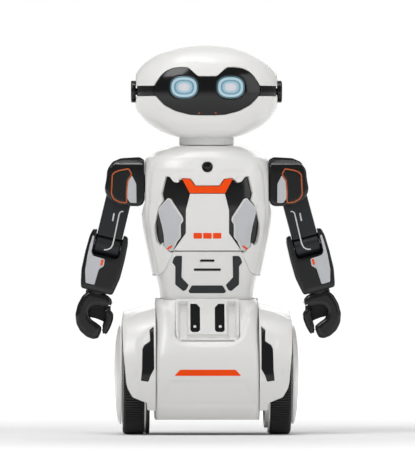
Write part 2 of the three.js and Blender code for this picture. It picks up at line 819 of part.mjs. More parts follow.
// Drawn for the left arm in millimetres from the swing pivot, x outwards and z up.
const HOUSING = [
  [-18, 23],
  [-14.3, 25.2],
  [0, 24.4],
  [6.4, 21.6],
  [10.4, 15.6],
  [10.9, 9],
  [12.3, 1.5],
  [11.8, -2.5],
  [7.6, -8.2],
  [2.1, -11.7],
  [-3.1, -12.3],
  [-13.8, -12.5],
  [-16.6, -11],
  [-18, -7.8],
];
const HOUSING_DEPTH = 15.5;
const PIVOT = { radius: 2.4, hole: 2.8, halfLength: 12.6 };
const ELBOW_PIN = { radius: 2.4, hole: 2.8, halfLength: 14 };
const HINGE_PIN = { radius: 1.2, hole: 1.6, halfLength: 8.3 };

// Drawn from the elbow axis, x outwards and z up along the forearm.
const FOREARM_OUTLINE = rounded(
  [
    [10.4, FOREARM.earHeight],
    [13.4, FOREARM.earHeight],
    [15, 5],
    [FOREARM.top, -8],
    [15.2, -22],
    [13.6, -30.5],
    [FOREARM.wrist, -FOREARM.length],
    [-FOREARM.wrist, -FOREARM.length],
    [-13.6, -30.5],
    [-15.2, -22],
    [-FOREARM.top, -8],
    [-15, 5],
    [-13.4, FOREARM.earHeight],
    [-10.4, FOREARM.earHeight],
    [-10.4, -9.2],
    [10.4, -9.2],
  ],
  2,
  2,
);
const FOREARM_PLATE = rounded(
  [
    [13, -10.4],
    [-0.4, -10.4],
    [-0.9, -15.8],
    [2.3, -18.9],
    [2.9, -31.4],
    [9.8, -31.4],
    [12.4, -22],
  ],
  0.8,
  1,
);
const JAW = rounded(
  [
    [-9, -HAND.top],
    [6, -HAND.top],
    [9.8, -41.5],
    [11.8, -49],
    [11.8, -57],
    [9.6, -63.4],
    [5.4, -68.4],
    [-0.6, -71.6],
    [-6, -72.2],
    [-9.8, -70.4],
    [-10.7, -65.4],
    [-9.4, -60.4],
    [-8.6, -56],
    [-8.6, -46.8],
    [-13.2, -45.8],
    [-13.9, -42],
    [-12.6, -38.6],
  ],
  1.8,
  1,
);
const THUMB = rounded(
  [
    [-13.6, -46.8],
    [-16.6, -49.4],
    [-17.5, -54],
    [-16.9, -60],
    [-15.4, -65.6],
    [-12, -66.2],
    [-10.6, -60],
    [-11.6, -54],
    [-10.6, -49],
    [-9.6, -46.8],
  ],
  1.2,
  1,
);

function housingSolid() {
  const r = HOUSING_DEPTH;
  const [low, high] = [-12.6, 25.4];
  const side = rounded([[-r, low], [r, low], [r, high], [-r, high]], 16, 5);
  const blank = common(prism(HOUSING, -r, r), prismX(side, -20, 20));
  const reach = ARM.halfWidth + 0.8;
  const depth = ARM.halfDepth + 0.5;
  const slotCut = unite(
    rod("y", reach, -depth, depth, [0, 0, 0], 20),
    box(-reach, 30, -depth, depth, -30, 0),
    box(0, 30, -depth, depth, -1, reach),
  );
  const pivotHole = rod("y", PIVOT.hole, -PIVOT.halfLength - GAP, PIVOT.halfLength + GAP);
  const shaft = rod("x", SHOULDER.shaft, -27, -17, [0, 0, SHOULDER.pitchZ - SHOULDER.pivotZ]);
  return unite(cut(blank, slotCut, pivotHole), shaft);
}

function upperArmSolid() {
  const { halfWidth, halfDepth, length, barrel } = ARM;
  const head = range(9).map((i) => {
    const angle = (Math.PI * i) / 8;
    return [halfWidth * Math.cos(angle), halfWidth * Math.sin(angle)];
  });
  const bar = prism([...head, [-halfWidth, -length + 6], [halfWidth, -length + 6]], -halfDepth, halfDepth);
  const elbow = rod("x", barrel, -halfWidth, halfWidth, [0, 0, -length], 20);
  const pivot = rod("y", PIVOT.radius, -PIVOT.halfLength, PIVOT.halfLength);
  const elbowPins = rod("x", ELBOW_PIN.radius, -ELBOW_PIN.halfLength, ELBOW_PIN.halfLength, [0, 0, -length]);
  return unite(bar, elbow, pivot, elbowPins);
}

function forearmSolid() {
  const d = FOREARM.halfDepth;
  const blank = prism(FOREARM_OUTLINE, -d, d);
  const sideProfile = [];
  range(9).forEach((i) => {
    const angle = (Math.PI * i) / 8;
    sideProfile.push([d * Math.cos(angle), FOREARM.earHeight * Math.sin(angle)]);
  });
  const shape = prismX([...sideProfile, [-d, -8], [-7.6, -40], [7.6, -40], [d, -8]], -20, 20);
  const pinHoles = rod("x", ELBOW_PIN.hole, -ELBOW_PIN.halfLength - GAP, ELBOW_PIN.halfLength + GAP);
  const boreTop = -FOREARM.length + FOREARM.shaftDepth + GAP;
  const bore = rod("z", FOREARM.wristShaft + GAP, -FOREARM.length - 2, boreTop);
  const pocket = prism(grown(FOREARM_PLATE, FIT), -20, -d + 1.7);
  return cut(common(blank, shape), pinHoles, bore, pocket);
}

function handSolid() {
  const d = HAND.halfDepth;
  const [hx, hz] = HAND.hinge;
  const [gripX, gripZ] = HAND.hole;
  const hole = rod("y", HAND.holeRadius, -20, 20, [gripX, 0, gripZ], 28);
  const ears = rod("y", HAND.earRadius, -d, d, [hx, 0, hz], 20);
  const room = HAND.earRadius + 0.6;
  const half = HAND.thumbWidth / 2 + GAP;
  const pocket = unite(
    rod("y", room, -half, half, [hx, 0, hz], 20),
    box(-20, hx + room, -half, half, hz - 8, hz),
    box(-20, hx, -half, half, hz - 8, hz + room),
  );
  const pinHole = rod("y", HINGE_PIN.hole, -20, 20, [hx, 0, hz], 14);
  const shaft = rod("z", FOREARM.wristShaft, -HAND.top - 2, -FOREARM.length + FOREARM.shaftDepth);
  const side = [[-d, -62], [-5, -73], [5, -73], [d, -62], [d, -40], [d - 2, -36], [2 - d, -36], [-d, -40]];
  const jaw = common(prism(JAW, -d, d), prismX(side, -20, 20));
  return unite(cut(unite(cut(jaw, hole), ears), pocket, pinHole), shaft);
}

function thumbSolid() {
  const [hx, hz] = HAND.hinge;
  const half = HAND.thumbWidth / 2;
  const barrel = rod("y", HAND.earRadius - 0.2, -half, half, [hx, 0, hz], 20);
  const link = prism([[-13.4, hz], [-14.2, -49], [-10.8, -49], [-8, hz]], -half, half);
  const blade = prism(THUMB, -7, 7);
  const pins = rod("y", HINGE_PIN.radius, -HINGE_PIN.halfLength, HINGE_PIN.halfLength, [hx, 0, hz], 14);
  return unite(barrel, link, blade, pins);
}

function buildArm(side, sign) {
  const facing = (made) => (sign > 0 ? made : made.mirror([1, 0, 0]));
  const shoulder = new THREE.Group();
  shoulder.position.set(sign * SHOULDER.pivotX, 0, SHOULDER.pivotZ);
  robot.add(shoulder);
  const arm = new THREE.Group();
  arm.rotation.y = -sign * THREE.MathUtils.degToRad(ARM.tilt[side]);
  shoulder.add(arm);
  const fore = new THREE.Group();
  fore.position.z = -ARM.length;
  arm.add(fore);

  add(`shoulder_housing_${side}`, facing(housingSolid()), "black", shoulder);
  add(`upper_arm_${side}`, facing(upperArmSolid()), "satinBlack", arm);
  add(`forearm_${side}`, facing(forearmSolid()), "black", fore);
  const plate = prism(FOREARM_PLATE, -FOREARM.halfDepth - 0.2, -FOREARM.halfDepth + 1.4);
  add(`forearm_plate_${side}`, facing(plate), "silver", fore);
  add(`hand_${side}`, facing(handSolid()), "black", fore);
  add(`thumb_${side}`, facing(thumbSolid()), "black", fore);
}

// ---------------------------------------------------------------- assembly

const torso = torsoShell();
buildHead();
buildFace();
buildNeck();
buildTorsoFront(torso);
buildTorsoBack(torso);
buildBelly();
buildTorsoInside();
buildBase();
buildHipPanel();
for (const [side, sign] of SIDES) {
  buildFender(side, sign);
  buildMotor(side, sign);
  buildWheel(side, sign);
  buildArm(side, sign);
}

export default robot;
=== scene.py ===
"""The looks of the two-wheel balancing robot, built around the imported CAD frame.

Shapes are drawn in millimetres in the frame's own axes: +Z up, the robot faces -Y, +X is its left side.
A curved shell is a patch of a smooth form. Its outline is drawn in x and z as seen from the front,
carried on to the form, filled with triangles, and given a thickness and rounded edges.
"""

import json
import math

import bpy
import numpy as np
from mathutils import Matrix, Vector
from mathutils.geometry import delaunay_2d_cdt


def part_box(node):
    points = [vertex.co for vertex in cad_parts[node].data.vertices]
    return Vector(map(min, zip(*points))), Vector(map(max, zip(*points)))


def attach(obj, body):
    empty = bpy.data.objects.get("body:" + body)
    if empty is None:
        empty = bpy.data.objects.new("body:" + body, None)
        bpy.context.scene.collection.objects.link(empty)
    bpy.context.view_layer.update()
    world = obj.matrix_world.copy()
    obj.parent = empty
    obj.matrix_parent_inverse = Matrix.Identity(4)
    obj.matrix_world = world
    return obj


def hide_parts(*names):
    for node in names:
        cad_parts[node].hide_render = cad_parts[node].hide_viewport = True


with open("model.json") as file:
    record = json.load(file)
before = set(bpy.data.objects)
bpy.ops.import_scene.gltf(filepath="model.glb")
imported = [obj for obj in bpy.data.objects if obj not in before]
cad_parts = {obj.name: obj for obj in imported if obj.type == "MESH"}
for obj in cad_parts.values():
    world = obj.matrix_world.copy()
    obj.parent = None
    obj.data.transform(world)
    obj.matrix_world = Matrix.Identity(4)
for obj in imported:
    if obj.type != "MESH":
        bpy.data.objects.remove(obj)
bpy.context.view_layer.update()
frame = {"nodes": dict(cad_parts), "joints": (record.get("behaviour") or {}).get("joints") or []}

MM = 0.001
SIDES = (("left", 1), ("right", -1))

# ---------------------------------------------------------------- driving dimensions, in millimetres

GAP = 0.16  # half the visible gap between two moulded pieces
SEAM_Y = 4.0  # plane between the front and back shells
SEAM_GAP = 0.5  # how far each shell stops short of that plane, before its rounded edge
AXLE_Z = (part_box("tyre_left")[0].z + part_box("tyre_left")[1].z) / 2 / MM
TYRE_R = (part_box("tyre_left")[1].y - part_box("tyre_left")[0].y) / 2 / MM
HEAD_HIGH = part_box("head_upper_shell")[1] / MM
HEAD_A = HEAD_HIGH.x
HEAD_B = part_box("head_upper_shell")[1].y / MM
HEAD_C = 37.5
HEAD_Z = HEAD_HIGH.z - HEAD_C
HEAD_POWER = 2.1
HEAD_REACH = 57.0  # half width the head would have without its flat sides
BAND_LOW, BAND_HIGH, BAND_SINK = -3.6, 4.2, 0.9
NECK_R = 20.8
EYE_X, EYE_Z = 17.9, 265.4
SENSOR_Z, SENSOR_R = 204.5, 3.9
SHOULDER_Z, SWEEP_R, SIDE_X = 192.0, 21.8, 47.1

# ---------------------------------------------------------------- outlines


def mirror(points):
    return [(-x, z) for x, z in reversed(points)]


def both(points):
    return list(points) + mirror(points)


def facing(points, sign):
    """An outline drawn for the robot's left, or its mirror image for the right."""
    return points if sign > 0 else mirror(points)


def rectangle(x0, z0, x1, z1):
    return [(x0, z0), (x1, z0), (x1, z1), (x0, z1)]


def across(start, end, count):
    """Even points between two corners of an outline, without the corners."""
    t = np.linspace(0, 1, count)[1:-1, None]
    return start * (1 - t) + end * t


def between(low, high, count):
    """The closed outline of the strip between two open edges that run the same way."""
    return np.vstack([low, across(low[-1], high[-1], count), high[::-1], across(high[0], low[0], count)])


def rounded(points, radius, steps=4):
    """Each corner of an outline as a short curve that starts and ends radius away from it."""
    pts = [np.array(p, float) for p in points]
    out = []
    for i, corner in enumerate(pts):
        before, after = pts[i - 1] - corner, pts[(i + 1) % len(pts)] - corner
        reach = min(radius, np.linalg.norm(before) * 0.48, np.linalg.norm(after) * 0.48)
        a = corner + before / np.linalg.norm(before) * reach
        b = corner + after / np.linalg.norm(after) * reach
        for t in np.linspace(0, 1, steps + 1):
            out.append((1 - t) ** 2 * a + 2 * t * (1 - t) * corner + t * t * b)
    return out


def grown(points, distance):
    """An outline with its edges moved outwards, or inwards by a negative distance.
    The distance may be a function of the points."""
    p = np.array(points, float)
    keep = np.linalg.norm(p - np.roll(p, 1, 0), axis=1) > 1e-6
    p = p[keep]
    q = np.roll(p, -1, 0)
    turn = np.sign(np.sum(p[:, 0] * q[:, 1] - q[:, 0] * p[:, 1]))
    edge = q - p
    normal = np.stack([edge[:, 1], -edge[:, 0]], 1) / np.linalg.norm(edge, axis=1)[:, None]
    before = np.roll(normal, 1, 0)
    bisector = before + normal
    bisector /= np.maximum(np.linalg.norm(bisector, axis=1), 1e-9)[:, None]
    spread = np.maximum(0.55, np.sum(bisector * normal, 1))
    reach = distance(p) if callable(distance) else distance
    return p + bisector * (turn * reach / spread)[:, None]


def traced(points, step=1.2, closed=True):
    """An outline or an open path with extra points, so that no edge is longer than step."""
    p = np.array(points, float)
    ends = np.roll(p, -1, 0) if closed else p[1:]
    out = []
    for a, b in zip(p, ends):
        n = max(1, int(math.ceil(np.linalg.norm(b - a) / step)))
        out.extend(a + (b - a) * k / n for k in range(n))
    return np.array(out if closed else out + [p[-1]])


def oval(cx, cz, a, b, sides=48, power=2.0):
    angles = np.arange(sides) * 2 * math.pi / sides
    c, s = np.cos(angles), np.sin(angles)
    size = (np.abs(c) ** power + np.abs(s) ** power) ** (-1 / power)
    return np.stack([cx + a * size * c, cz + b * size * s], 1)


def inside(points, polygon):
    x, y = points[:, 0], points[:, 1]
    hit = np.zeros(len(points), bool)
    for (x0, y0), (x1, y1) in zip(polygon, np.roll(polygon, -1, 0)):
        if y0 == y1:
            continue
        crosses = (y0 > y) != (y1 > y)
        hit ^= crosses & (x < (x1 - x0) * (y - y0) / (y1 - y0) + x0)
    return hit


# ---------------------------------------------------------------- smooth forms


def soft_step(value, start, end):
    t = np.clip((value - start) / (end - start), 0, 1)
    return t * t * (3 - 2 * t)


def slopes(at, values):
    """Tangents of a smooth curve through the values, without overshoot."""
    step = np.diff(values, axis=0) / np.diff(at)[:, None]
    out = np.zeros_like(values)
    out[0], out[-1] = step[0], step[-1]
    a, b = step[:-1], step[1:]
    same = a * b > 0
    total = np.where(same, a + b, 1)
    out[1:-1] = np.where(same, 2 * a * b / total, 0)
    return out


class Form:
    """An upright body of superellipse sections: height, half width, front depth, back depth, power.
    Its two surface coordinates are the angle round it, times 45 mm, and the length up its profile."""

    REACH = 45.0

    def __init__(self, sections):
        self.rows = np.array(sections, float)
        self.v = np.concatenate([[0], np.cumsum(np.linalg.norm(np.diff(self.rows[:, :3], axis=0), axis=1))])
        self.slope = slopes(self.v, self.rows)
        self.fine_v = np.linspace(0, self.v[-1], 2000)
        self.fine_z = self.section(self.fine_v)[:, 0]

    def section(self, v):
        v = np.clip(v, 0, self.v[-1])
        i = np.clip(np.searchsorted(self.v, v, side="right") - 1, 0, len(self.v) - 2)
        h = (self.v[i + 1] - self.v[i])[:, None]
        t = (v - self.v[i])[:, None] / h
        return (
            (1 + 2 * t) * (1 - t) ** 2 * self.rows[i]
            + t * (1 - t) ** 2 * h * self.slope[i]
            + t * t * (3 - 2 * t) * self.rows[i + 1]
            + t * t * (t - 1) * h * self.slope[i + 1]
        )

    def v_at(self, z):
        return np.interp(z, self.fine_z, self.fine_v)

    def point(self, uv):
        z, w, f, b, n = self.section(uv[:, 1]).T
        s, c = np.sin(uv[:, 0] / self.REACH), np.cos(uv[:, 0] / self.REACH)
        d = np.where(c > 0, f, b)
        r = ((np.abs(s) / w) ** n + (np.abs(c) / d) ** n) ** (-1 / n)
        return np.stack([r * s, -r * c, z], 1)

    def at(self, uv):
        e = 0.05
        du, dv = np.array([[e, 0]]), np.array([[0, e]])
        across = self.point(uv + du) - self.point(uv - du)
        along = self.point(uv + dv) - self.point(uv - dv)
        normal = np.cross(across, along)
        return self.point(uv), normal / np.maximum(np.linalg.norm(normal, axis=1), 1e-12)[:, None]

    def carried(self, points, step, closed, sign):
        """Points drawn in x and z, carried along Y on to the front (-1) or the back (1) of the form."""
        p = traced(points, step, closed)
        v = self.v_at(p[:, 1])
        _, w, f, b, n = self.section(v).T
        x = np.clip(p[:, 0], -w * 0.9999, w * 0.9999)
        y = sign * (f if sign < 0 else b) * (1 - np.abs(x / w) ** n) ** (1 / n)
        return x, y, v

    def front(self, points, step=1.2, closed=True):
        x, y, v = self.carried(points, step, closed, -1)
        return np.stack([np.arctan2(x, -y) * self.REACH, v], 1)

    def back(self, points, step=1.2):
        x, y, v = self.carried(points, step, True, 1)
        return np.stack([np.arctan2(x, -y) % (2 * math.pi) * self.REACH, v], 1)

    def seam(self, z, sign, y=SEAM_Y):
        """Surface coordinates of the side seam at these heights."""
        v = self.v_at(np.array(z, float))
        _, w, f, b, n = self.section(v).T
        x = w * (1 - np.abs(y / np.where(y > 0, b, f)) ** n) ** (1 / n)
        return np.stack([sign * np.arctan2(x, np.full_like(x, -y)) * self.REACH, v], 1)


class TorsoForm(Form):
    """The chest, with a flat round seat on each side for the shoulder."""

    def point(self, uv):
        p = super().point(uv)
        away = np.where(p[:, 2] < SHOULDER_Z, np.hypot(p[:, 1], p[:, 2] - SHOULDER_Z), np.abs(p[:, 1]))
        limit = SIDE_X + np.maximum(0, away - SWEEP_R) * 1.5
        p[:, 0] = np.sign(p[:, 0]) * np.minimum(np.abs(p[:, 0]), limit)
        return p


class HeadForm(Form):
    """A superellipsoid. Its surface coordinates are the angles round it and up it, times 45 mm."""

    def __init__(self):
        self.size = np.array([HEAD_REACH, HEAD_B, HEAD_C])

    def power(self, a, e):
        """The underside is fuller at the front and back, so that it hides the top of the neck."""
        return HEAD_POWER + 0.9 * soft_step(-e, 0.1, 1.0) * np.cos(a) ** 2

    def point(self, uv):
        a, e = uv[:, 0] / self.REACH, uv[:, 1] / self.REACH
        d = np.stack([np.cos(e) * np.sin(a), -np.cos(e) * np.cos(a), np.sin(e)], 1)
        n = self.power(a, e)
        r = np.sum((np.abs(d) / self.size) ** n[:, None], 1) ** (-1 / n)
        p = d * r[:, None]
        p[:, 0] = np.clip(p[:, 0], -HEAD_A, HEAD_A)
        return p + np.array([0, 0, HEAD_Z])

    def at(self, uv):
        p, n = super().at(uv)
        pole = np.abs(uv[:, 1]) > (math.pi / 2 - 0.01) * self.REACH
        n[pole] = np.stack([0 * uv[pole, 0], 0 * uv[pole, 0], np.sign(uv[pole, 1])], 1)
        return p, n

    def front(self, points, step=1.2):
        p = traced(points, step)
        x, z = p[:, 0], p[:, 1] - HEAD_Z
        a, b, c = self.size
        left = np.maximum(1 - np.abs(x / a) ** HEAD_POWER - np.abs(z / c) ** HEAD_POWER, 1e-9)
        y = -b * left ** (1 / HEAD_POWER)
        return np.stack([np.arctan2(x, -y), np.arctan2(z, np.hypot(x, y))], 1) * self.REACH

    def level(self, angles, z):
        """Surface coordinates at a height above the head's centre, at these angles round it."""
        a, b, c = self.size
        n = HEAD_POWER
        radius = (1 - abs(z / c) ** n) ** (1 / n)
        radius /= ((np.abs(np.sin(angles)) / a) ** n + (np.abs(np.cos(angles)) / b) ** n) ** (1 / n)
        return np.stack([angles, np.arctan2(z, radius)], 1) * self.REACH


class Arch:
    """A mudguard over the wheel: sections of x, half depth and half height about the axle.
    Its surface coordinates are x and the angle up from the front, times 50 mm."""

    REACH = 50.0

    def __init__(self, sections):
        self.rows = np.array(sections, float)
        self.slope = slopes(self.rows[:, 0], self.rows)

    def point(self, uv):
        x = uv[:, 0]
        depth = np.interp(x, self.rows[:, 0], self.rows[:, 1])
        height = np.interp(x, self.rows[:, 0], self.rows[:, 2])
        a = uv[:, 1] / self.REACH
        return np.stack([x, -depth * np.cos(a), AXLE_Z + height * np.sin(a)], 1)

    at = Form.at

    def front(self, points, step=1.2, closed=True):
        p = traced(points, step, closed)
        height = np.interp(p[:, 0], self.rows[:, 0], self.rows[:, 2])
        a = np.arcsin(np.clip((p[:, 1] - AXLE_Z) / height, -1, 1))
        return np.stack([p[:, 0], a * self.REACH], 1)


UPRIGHT = 1e6  # a height that no face reaches, for one that never leans


class Plate:
    """A face that looks along -Y, drawn in x and z. It is flat, or leans back above a height."""

    def __init__(self, y, lean_from=UPRIGHT):
        self.y, self.lean_from = y, lean_from

    def point(self, uv):
        above = uv[:, 1] - self.lean_from
        back = 0.5 * (above + np.sqrt(above**2 + 1.5)) if self.lean_from < UPRIGHT else 0
        return np.stack([uv[:, 0], np.full(len(uv), self.y) + back, uv[:, 1]], 1)

    at = Form.at


def relieved(form, relief):
    """The same form with a relief, in millimetres along its normal."""

    class Relieved:
        def point(self, uv):
            p, n = form.at(uv)
            return p + n * relief(p)[:, None]

        at = Form.at

    return Relieved()


def seams(form, low, high, front, count):
    """The left and right side seams of a front or back half, one going up and the other down."""
    z = np.linspace(low, high, count)
    y = SEAM_Y - SEAM_GAP if front else SEAM_Y + SEAM_GAP
    rising, falling = form.seam(z, 1, y), form.seam(z[::-1], -1, y)
    if not front:
        falling[:, 0] += 2 * math.pi * form.REACH
    return rising, falling


def upright_shell(form, low, high, front, count=60, ends=80):
    """The outline of a front or back half between two heights."""
    rising, falling = seams(form, low, high, front, count)
    return between(rising, falling[::-1], ends)


# ---------------------------------------------------------------- meshes as (points, faces)


def fill(outers, holes, spacing):
    """Triangles that fill the outlines and leave the holes, with points about spacing apart."""
    edge = np.vstack([*outers, *holes])
    low, high = edge.min(0), edge.max(0)
    rows = np.arange(low[1] + spacing * 0.5, high[1], spacing * 0.87)
    starts = [low[0] + spacing * (0.5 + 0.5 * (k % 2)) for k in range(len(rows))]
    grid = [(x, y) for start, y in zip(starts, rows) for x in np.arange(start, high[0], spacing)]
    grid = np.array(grid).reshape(-1, 2)

    def wanted(points):
        hit = np.zeros(len(points), bool)
        for polygon in outers:
            hit |= inside(points, polygon)
        for polygon in holes:
            hit &= ~inside(points, polygon)
        return hit

    grid = grid[wanted(grid)]
    clear = np.ones(len(grid), bool)
    for start in range(0, len(grid), 500):
        part = grid[start : start + 500]
        away = np.min(np.sum((part[:, None] - edge[None]) ** 2, 2), 1)
        clear[start : start + 500] = away > (0.62 * spacing) ** 2
    links, base = [], 0
    for polygon in [*outers, *holes]:
        n = len(polygon)
        links += [(base + i, base + (i + 1) % n) for i in range(n)]
        base += n
    coords = [Vector(p) for p in np.vstack([edge, grid[clear]])]
    result = delaunay_2d_cdt(coords, links, [], 0, 1e-5)
    flat = np.array([tuple(v) for v in result[0]])
    tris = np.array([t for t in result[2] if len(t) == 3])
    tris = tris[wanted(flat[tris].mean(1))]
    return flat, tris


def merged(points, faces, tolerance=1e-3):
    """The mesh with points that coincide made one."""
    keys = np.round(points / tolerance).astype(np.int64)
    _, first, index = np.unique(keys, axis=0, return_index=True, return_inverse=True)
    index = index.reshape(-1)
    out = []
    for f in faces:
        g = [int(index[i]) for i in f]
        g = [a for a, b in zip(g, g[1:] + g[:1]) if a != b]
        if len(set(g)) >= 3:
            out.append(tuple(g))
    used = sorted({i for f in out for i in f})
    place = {old: new for new, old in enumerate(used)}
    return points[first[used]], [tuple(place[i] for i in f) for f in out], first[used]


def flipped(mesh):
    """The mirror image across the plane x = 0."""
    p, f = mesh
    return p * np.array([-1, 1, 1]), [tuple(reversed(face)) for face in f]


def sided(mesh, sign):
    return mesh if sign > 0 else flipped(mesh)


def moved(mesh, matrix):
    p, f = mesh
    m = np.array(matrix)
    return p @ m[:3, :3].T + m[:3, 3], f


def thick(points, normals, tris, thickness, bevel, back_bevel=False, steps=4):
    """A closed solid from a patch of surface: a rounded rim, a wall, and an inner face."""
    points, tris, kept = merged(points, [tuple(t) for t in tris])
    normals = normals[kept]
    seen = dict.fromkeys(edge for face in tris for edge in zip(face, face[1:] + face[:1]))
    rim = [(a, b) for a, b in seen if (b, a) not in seen]
    after, before = {}, {}
    for a, b in rim:
        after[a], before[b] = b, a
    order = sorted(set(after) & set(before))
    at = {v: i for i, v in enumerate(order)}
    p = points[order]
    n = normals[order]
    forward = points[[after[v] for v in order]] - p
    backward = p - points[[before[v] for v in order]]

    def outward(direction):
        b = np.cross(direction, n)
        return b / np.maximum(np.linalg.norm(b, axis=1), 1e-9)[:, None]

    b1, b2 = outward(backward), outward(forward)
    out = b1 + b2
    out /= np.maximum(np.linalg.norm(out, axis=1), 1e-9)[:, None]
    out /= np.maximum(0.6, np.sum(out * b2, 1))[:, None]
    size = bevel(p[:, [0, 2]])[:, None] if callable(bevel) else bevel
    rings = []
    for k in range(1, steps + 1):
        a = math.pi / 2 * k / steps
        rings.append(p + out * size * math.sin(a) - n * size * (1 - math.cos(a)))
    if back_bevel:
        for k in range(steps + 1):
            a = math.pi / 2 * k / steps
            rings.append(p + out * size * math.cos(a) - n * (thickness - size * (1 - math.sin(a))))
    else:
        rings.append(p + out * size - n * thickness)
    inner = points - normals * thickness
    count, around = len(points), len(order)
    faces = list(tris)
    index = [order] + [list(range(count + around * k, count + around * (k + 1))) for k in range(len(rings))]
    base = count + around * len(rings)
    index.append([base + v for v in order])
    for a, b in rim:
        if a not in at or b not in at:
            continue
        i, j = at[a], at[b]
        for low, high in zip(index[:-1], index[1:]):
            faces.append((low[j], low[i], high[i], high[j]))
    faces += [tuple(base + i for i in reversed(f)) for f in tris]
    return np.vstack([points, *rings, inner]), faces


def patch(form, outers, holes=(), lift=0.0, thickness=2.0, bevel=0.4, spacing=1.8, **rim):
    """A solid panel on a form, from outlines in the form's own coordinates."""
    flat, tris = fill(list(outers), list(holes), spacing)
    p, n = form.at(flat)
    return thick(p + n * lift, n, tris, thickness, bevel, **rim)


def panel(form, outline, holes=(), gap=GAP, bevel=0.4, step=1.2, **options):
    """A solid panel on the front of a form, from outlines drawn in x and z, with a gap all round it."""
    outer = grown(form.front(outline, step), -(gap + bevel))
    inner = [grown(form.front(h, step), gap + bevel) for h in holes]
    return patch(form, [outer], inner, bevel=bevel, **options)


def bar(outline, y0, y1, bevel, holes=(), spacing=3.0, step=1.5, lean_from=UPRIGHT):
    """A straight bar along Y of an outline in x and z, with rounded edges at both ends."""

    def inset(p):
        return -bevel(p) if callable(bevel) else -bevel

    outer = grown(traced(outline, step), inset)
    inner = [grown(traced(h, step), lambda p: -inset(p)) for h in holes]
    plate = Plate(y0, lean_from)
    return patch(plate, [outer], inner, thickness=y1 - y0, bevel=bevel, spacing=spacing, back_bevel=True)


def lathe(profile, axis="z", centre=(0, 0, 0), sides=96, wave=None):
    """A turned solid. The profile is a closed loop of (radius, position along the axis)."""
    loop = np.array(profile, float)
    angles = np.arange(sides) * 2 * math.pi / sides
    rings = []
    for k, a in enumerate(angles):
        r = loop[:, 0] + (wave(k, loop) if wave else 0)
        c, s, along = r * math.cos(a), r * math.sin(a), loop[:, 1]
        turned = {"x": (along, c, s), "y": (s, along, c), "z": (c, s, along)}
        rings.append(np.stack(turned[axis], 1))
    points = np.vstack(rings) + np.array(centre, float)
    m = len(loop)
    faces = []
    for k in range(sides):
        a, b = k * m, (k + 1) % sides * m
        for i in range(m):
            j = (i + 1) % m
            faces.append((a + i, b + i, b + j, a + j))
    points, faces, _ = merged(points, faces)
    volume = 0.0
    for f in faces:
        for b, c in zip(f[1:], f[2:]):
            volume += np.dot(points[f[0]], np.cross(points[b], points[c]))
    if volume < 0:
        faces = [tuple(reversed(f)) for f in faces]
    return points, faces


# ---------------------------------------------------------------- materials


def new_material(name):
    material = bpy.data.materials.new(name)
    material.use_nodes = True
    nodes, links = material.node_tree.nodes, material.node_tree.links
    return material, nodes, links, nodes["Principled BSDF"]


def put(node, values):
    """Sets input sockets of a node."""
    for name, value in values.items():
        node.inputs[name].default_value = value


def noise(nodes, links, scale, detail=3.0, roughness=0.5):
    where = nodes.new("ShaderNodeTexCoord")
    texture = nodes.new("ShaderNodeTexNoise")
    put(texture, {"Scale": scale, "Detail": detail, "Roughness": roughness})
    links.new(where.outputs["Object"], texture.inputs["Vector"])
    return texture.outputs["Fac"]


def spread(nodes, links, value, low, high):
    ramp = nodes.new("ShaderNodeMapRange")
    put(ramp, {"From Min": 0.25, "From Max": 0.75, "To Min": low, "To Max": high})
    links.new(value, ramp.inputs["Value"])
    return ramp.outputs["Result"]


def fading(nodes, links, centre, near, far, at_near, at_far):
    """A value that changes with the distance in metres from a point of the object."""
    where = nodes.new("ShaderNodeTexCoord")
    away = nodes.new("ShaderNodeVectorMath")
    away.operation = "DISTANCE"
    away.inputs[1].default_value = centre
    links.new(where.outputs["Object"], away.inputs[0])
    fade = nodes.new("ShaderNodeMapRange")
    put(fade, {"From Min": near, "From Max": far, "To Min": at_near, "To Max": at_far})
    links.new(away.outputs["Value"], fade.inputs["Value"])
    return fade.outputs["Result"]


def moulded(name, colour, rough=(0.26, 0.34), grain=900.0, relief=0.02, tone=0.03, coat=0.0, specular=0.5):
    """Moulded plastic: faint flow marks in its colour, an uneven gloss, and a fine skin texture."""
    material, nodes, links, shader = new_material(name)
    mix = nodes.new("ShaderNodeMix")
    mix.data_type = "RGBA"
    dark, light = [c * (1 - tone) for c in colour], [min(1, c * (1 + tone)) for c in colour]
    put(mix, {"A": (*dark, 1), "B": (*light, 1)})
    links.new(spread(nodes, links, noise(nodes, links, 22, 4), 0, 1), mix.inputs["Factor"])
    links.new(mix.outputs["Result"], shader.inputs["Base Color"])
    links.new(spread(nodes, links, noise(nodes, links, 60, 5, 0.6), *rough), shader.inputs["Roughness"])
    bump = nodes.new("ShaderNodeBump")
    put(bump, {"Strength": relief, "Distance": 0.0004})
    links.new(noise(nodes, links, grain, 4, 0.6), bump.inputs["Height"])
    links.new(bump.outputs["Normal"], shader.inputs["Normal"])
    put(shader, {"Coat Weight": coat, "Coat Roughness": 0.06, "Specular IOR Level": specular})
    return material


def lit(name, centre, colour, strength):
    """A light guide that glows evenly, a little brighter in its middle."""
    material, nodes, links, shader = new_material(name)
    glow = fading(nodes, links, centre, 0, 0.011, strength, strength * 0.75)
    links.new(glow, shader.inputs["Emission Strength"])
    put(shader, {"Emission Color": (*colour, 1), "Base Color": (*[c * 0.06 for c in colour], 1)})
    links.new(spread(nodes, links, noise(nodes, links, 300), 0.2, 0.32), shader.inputs["Roughness"])
    return material


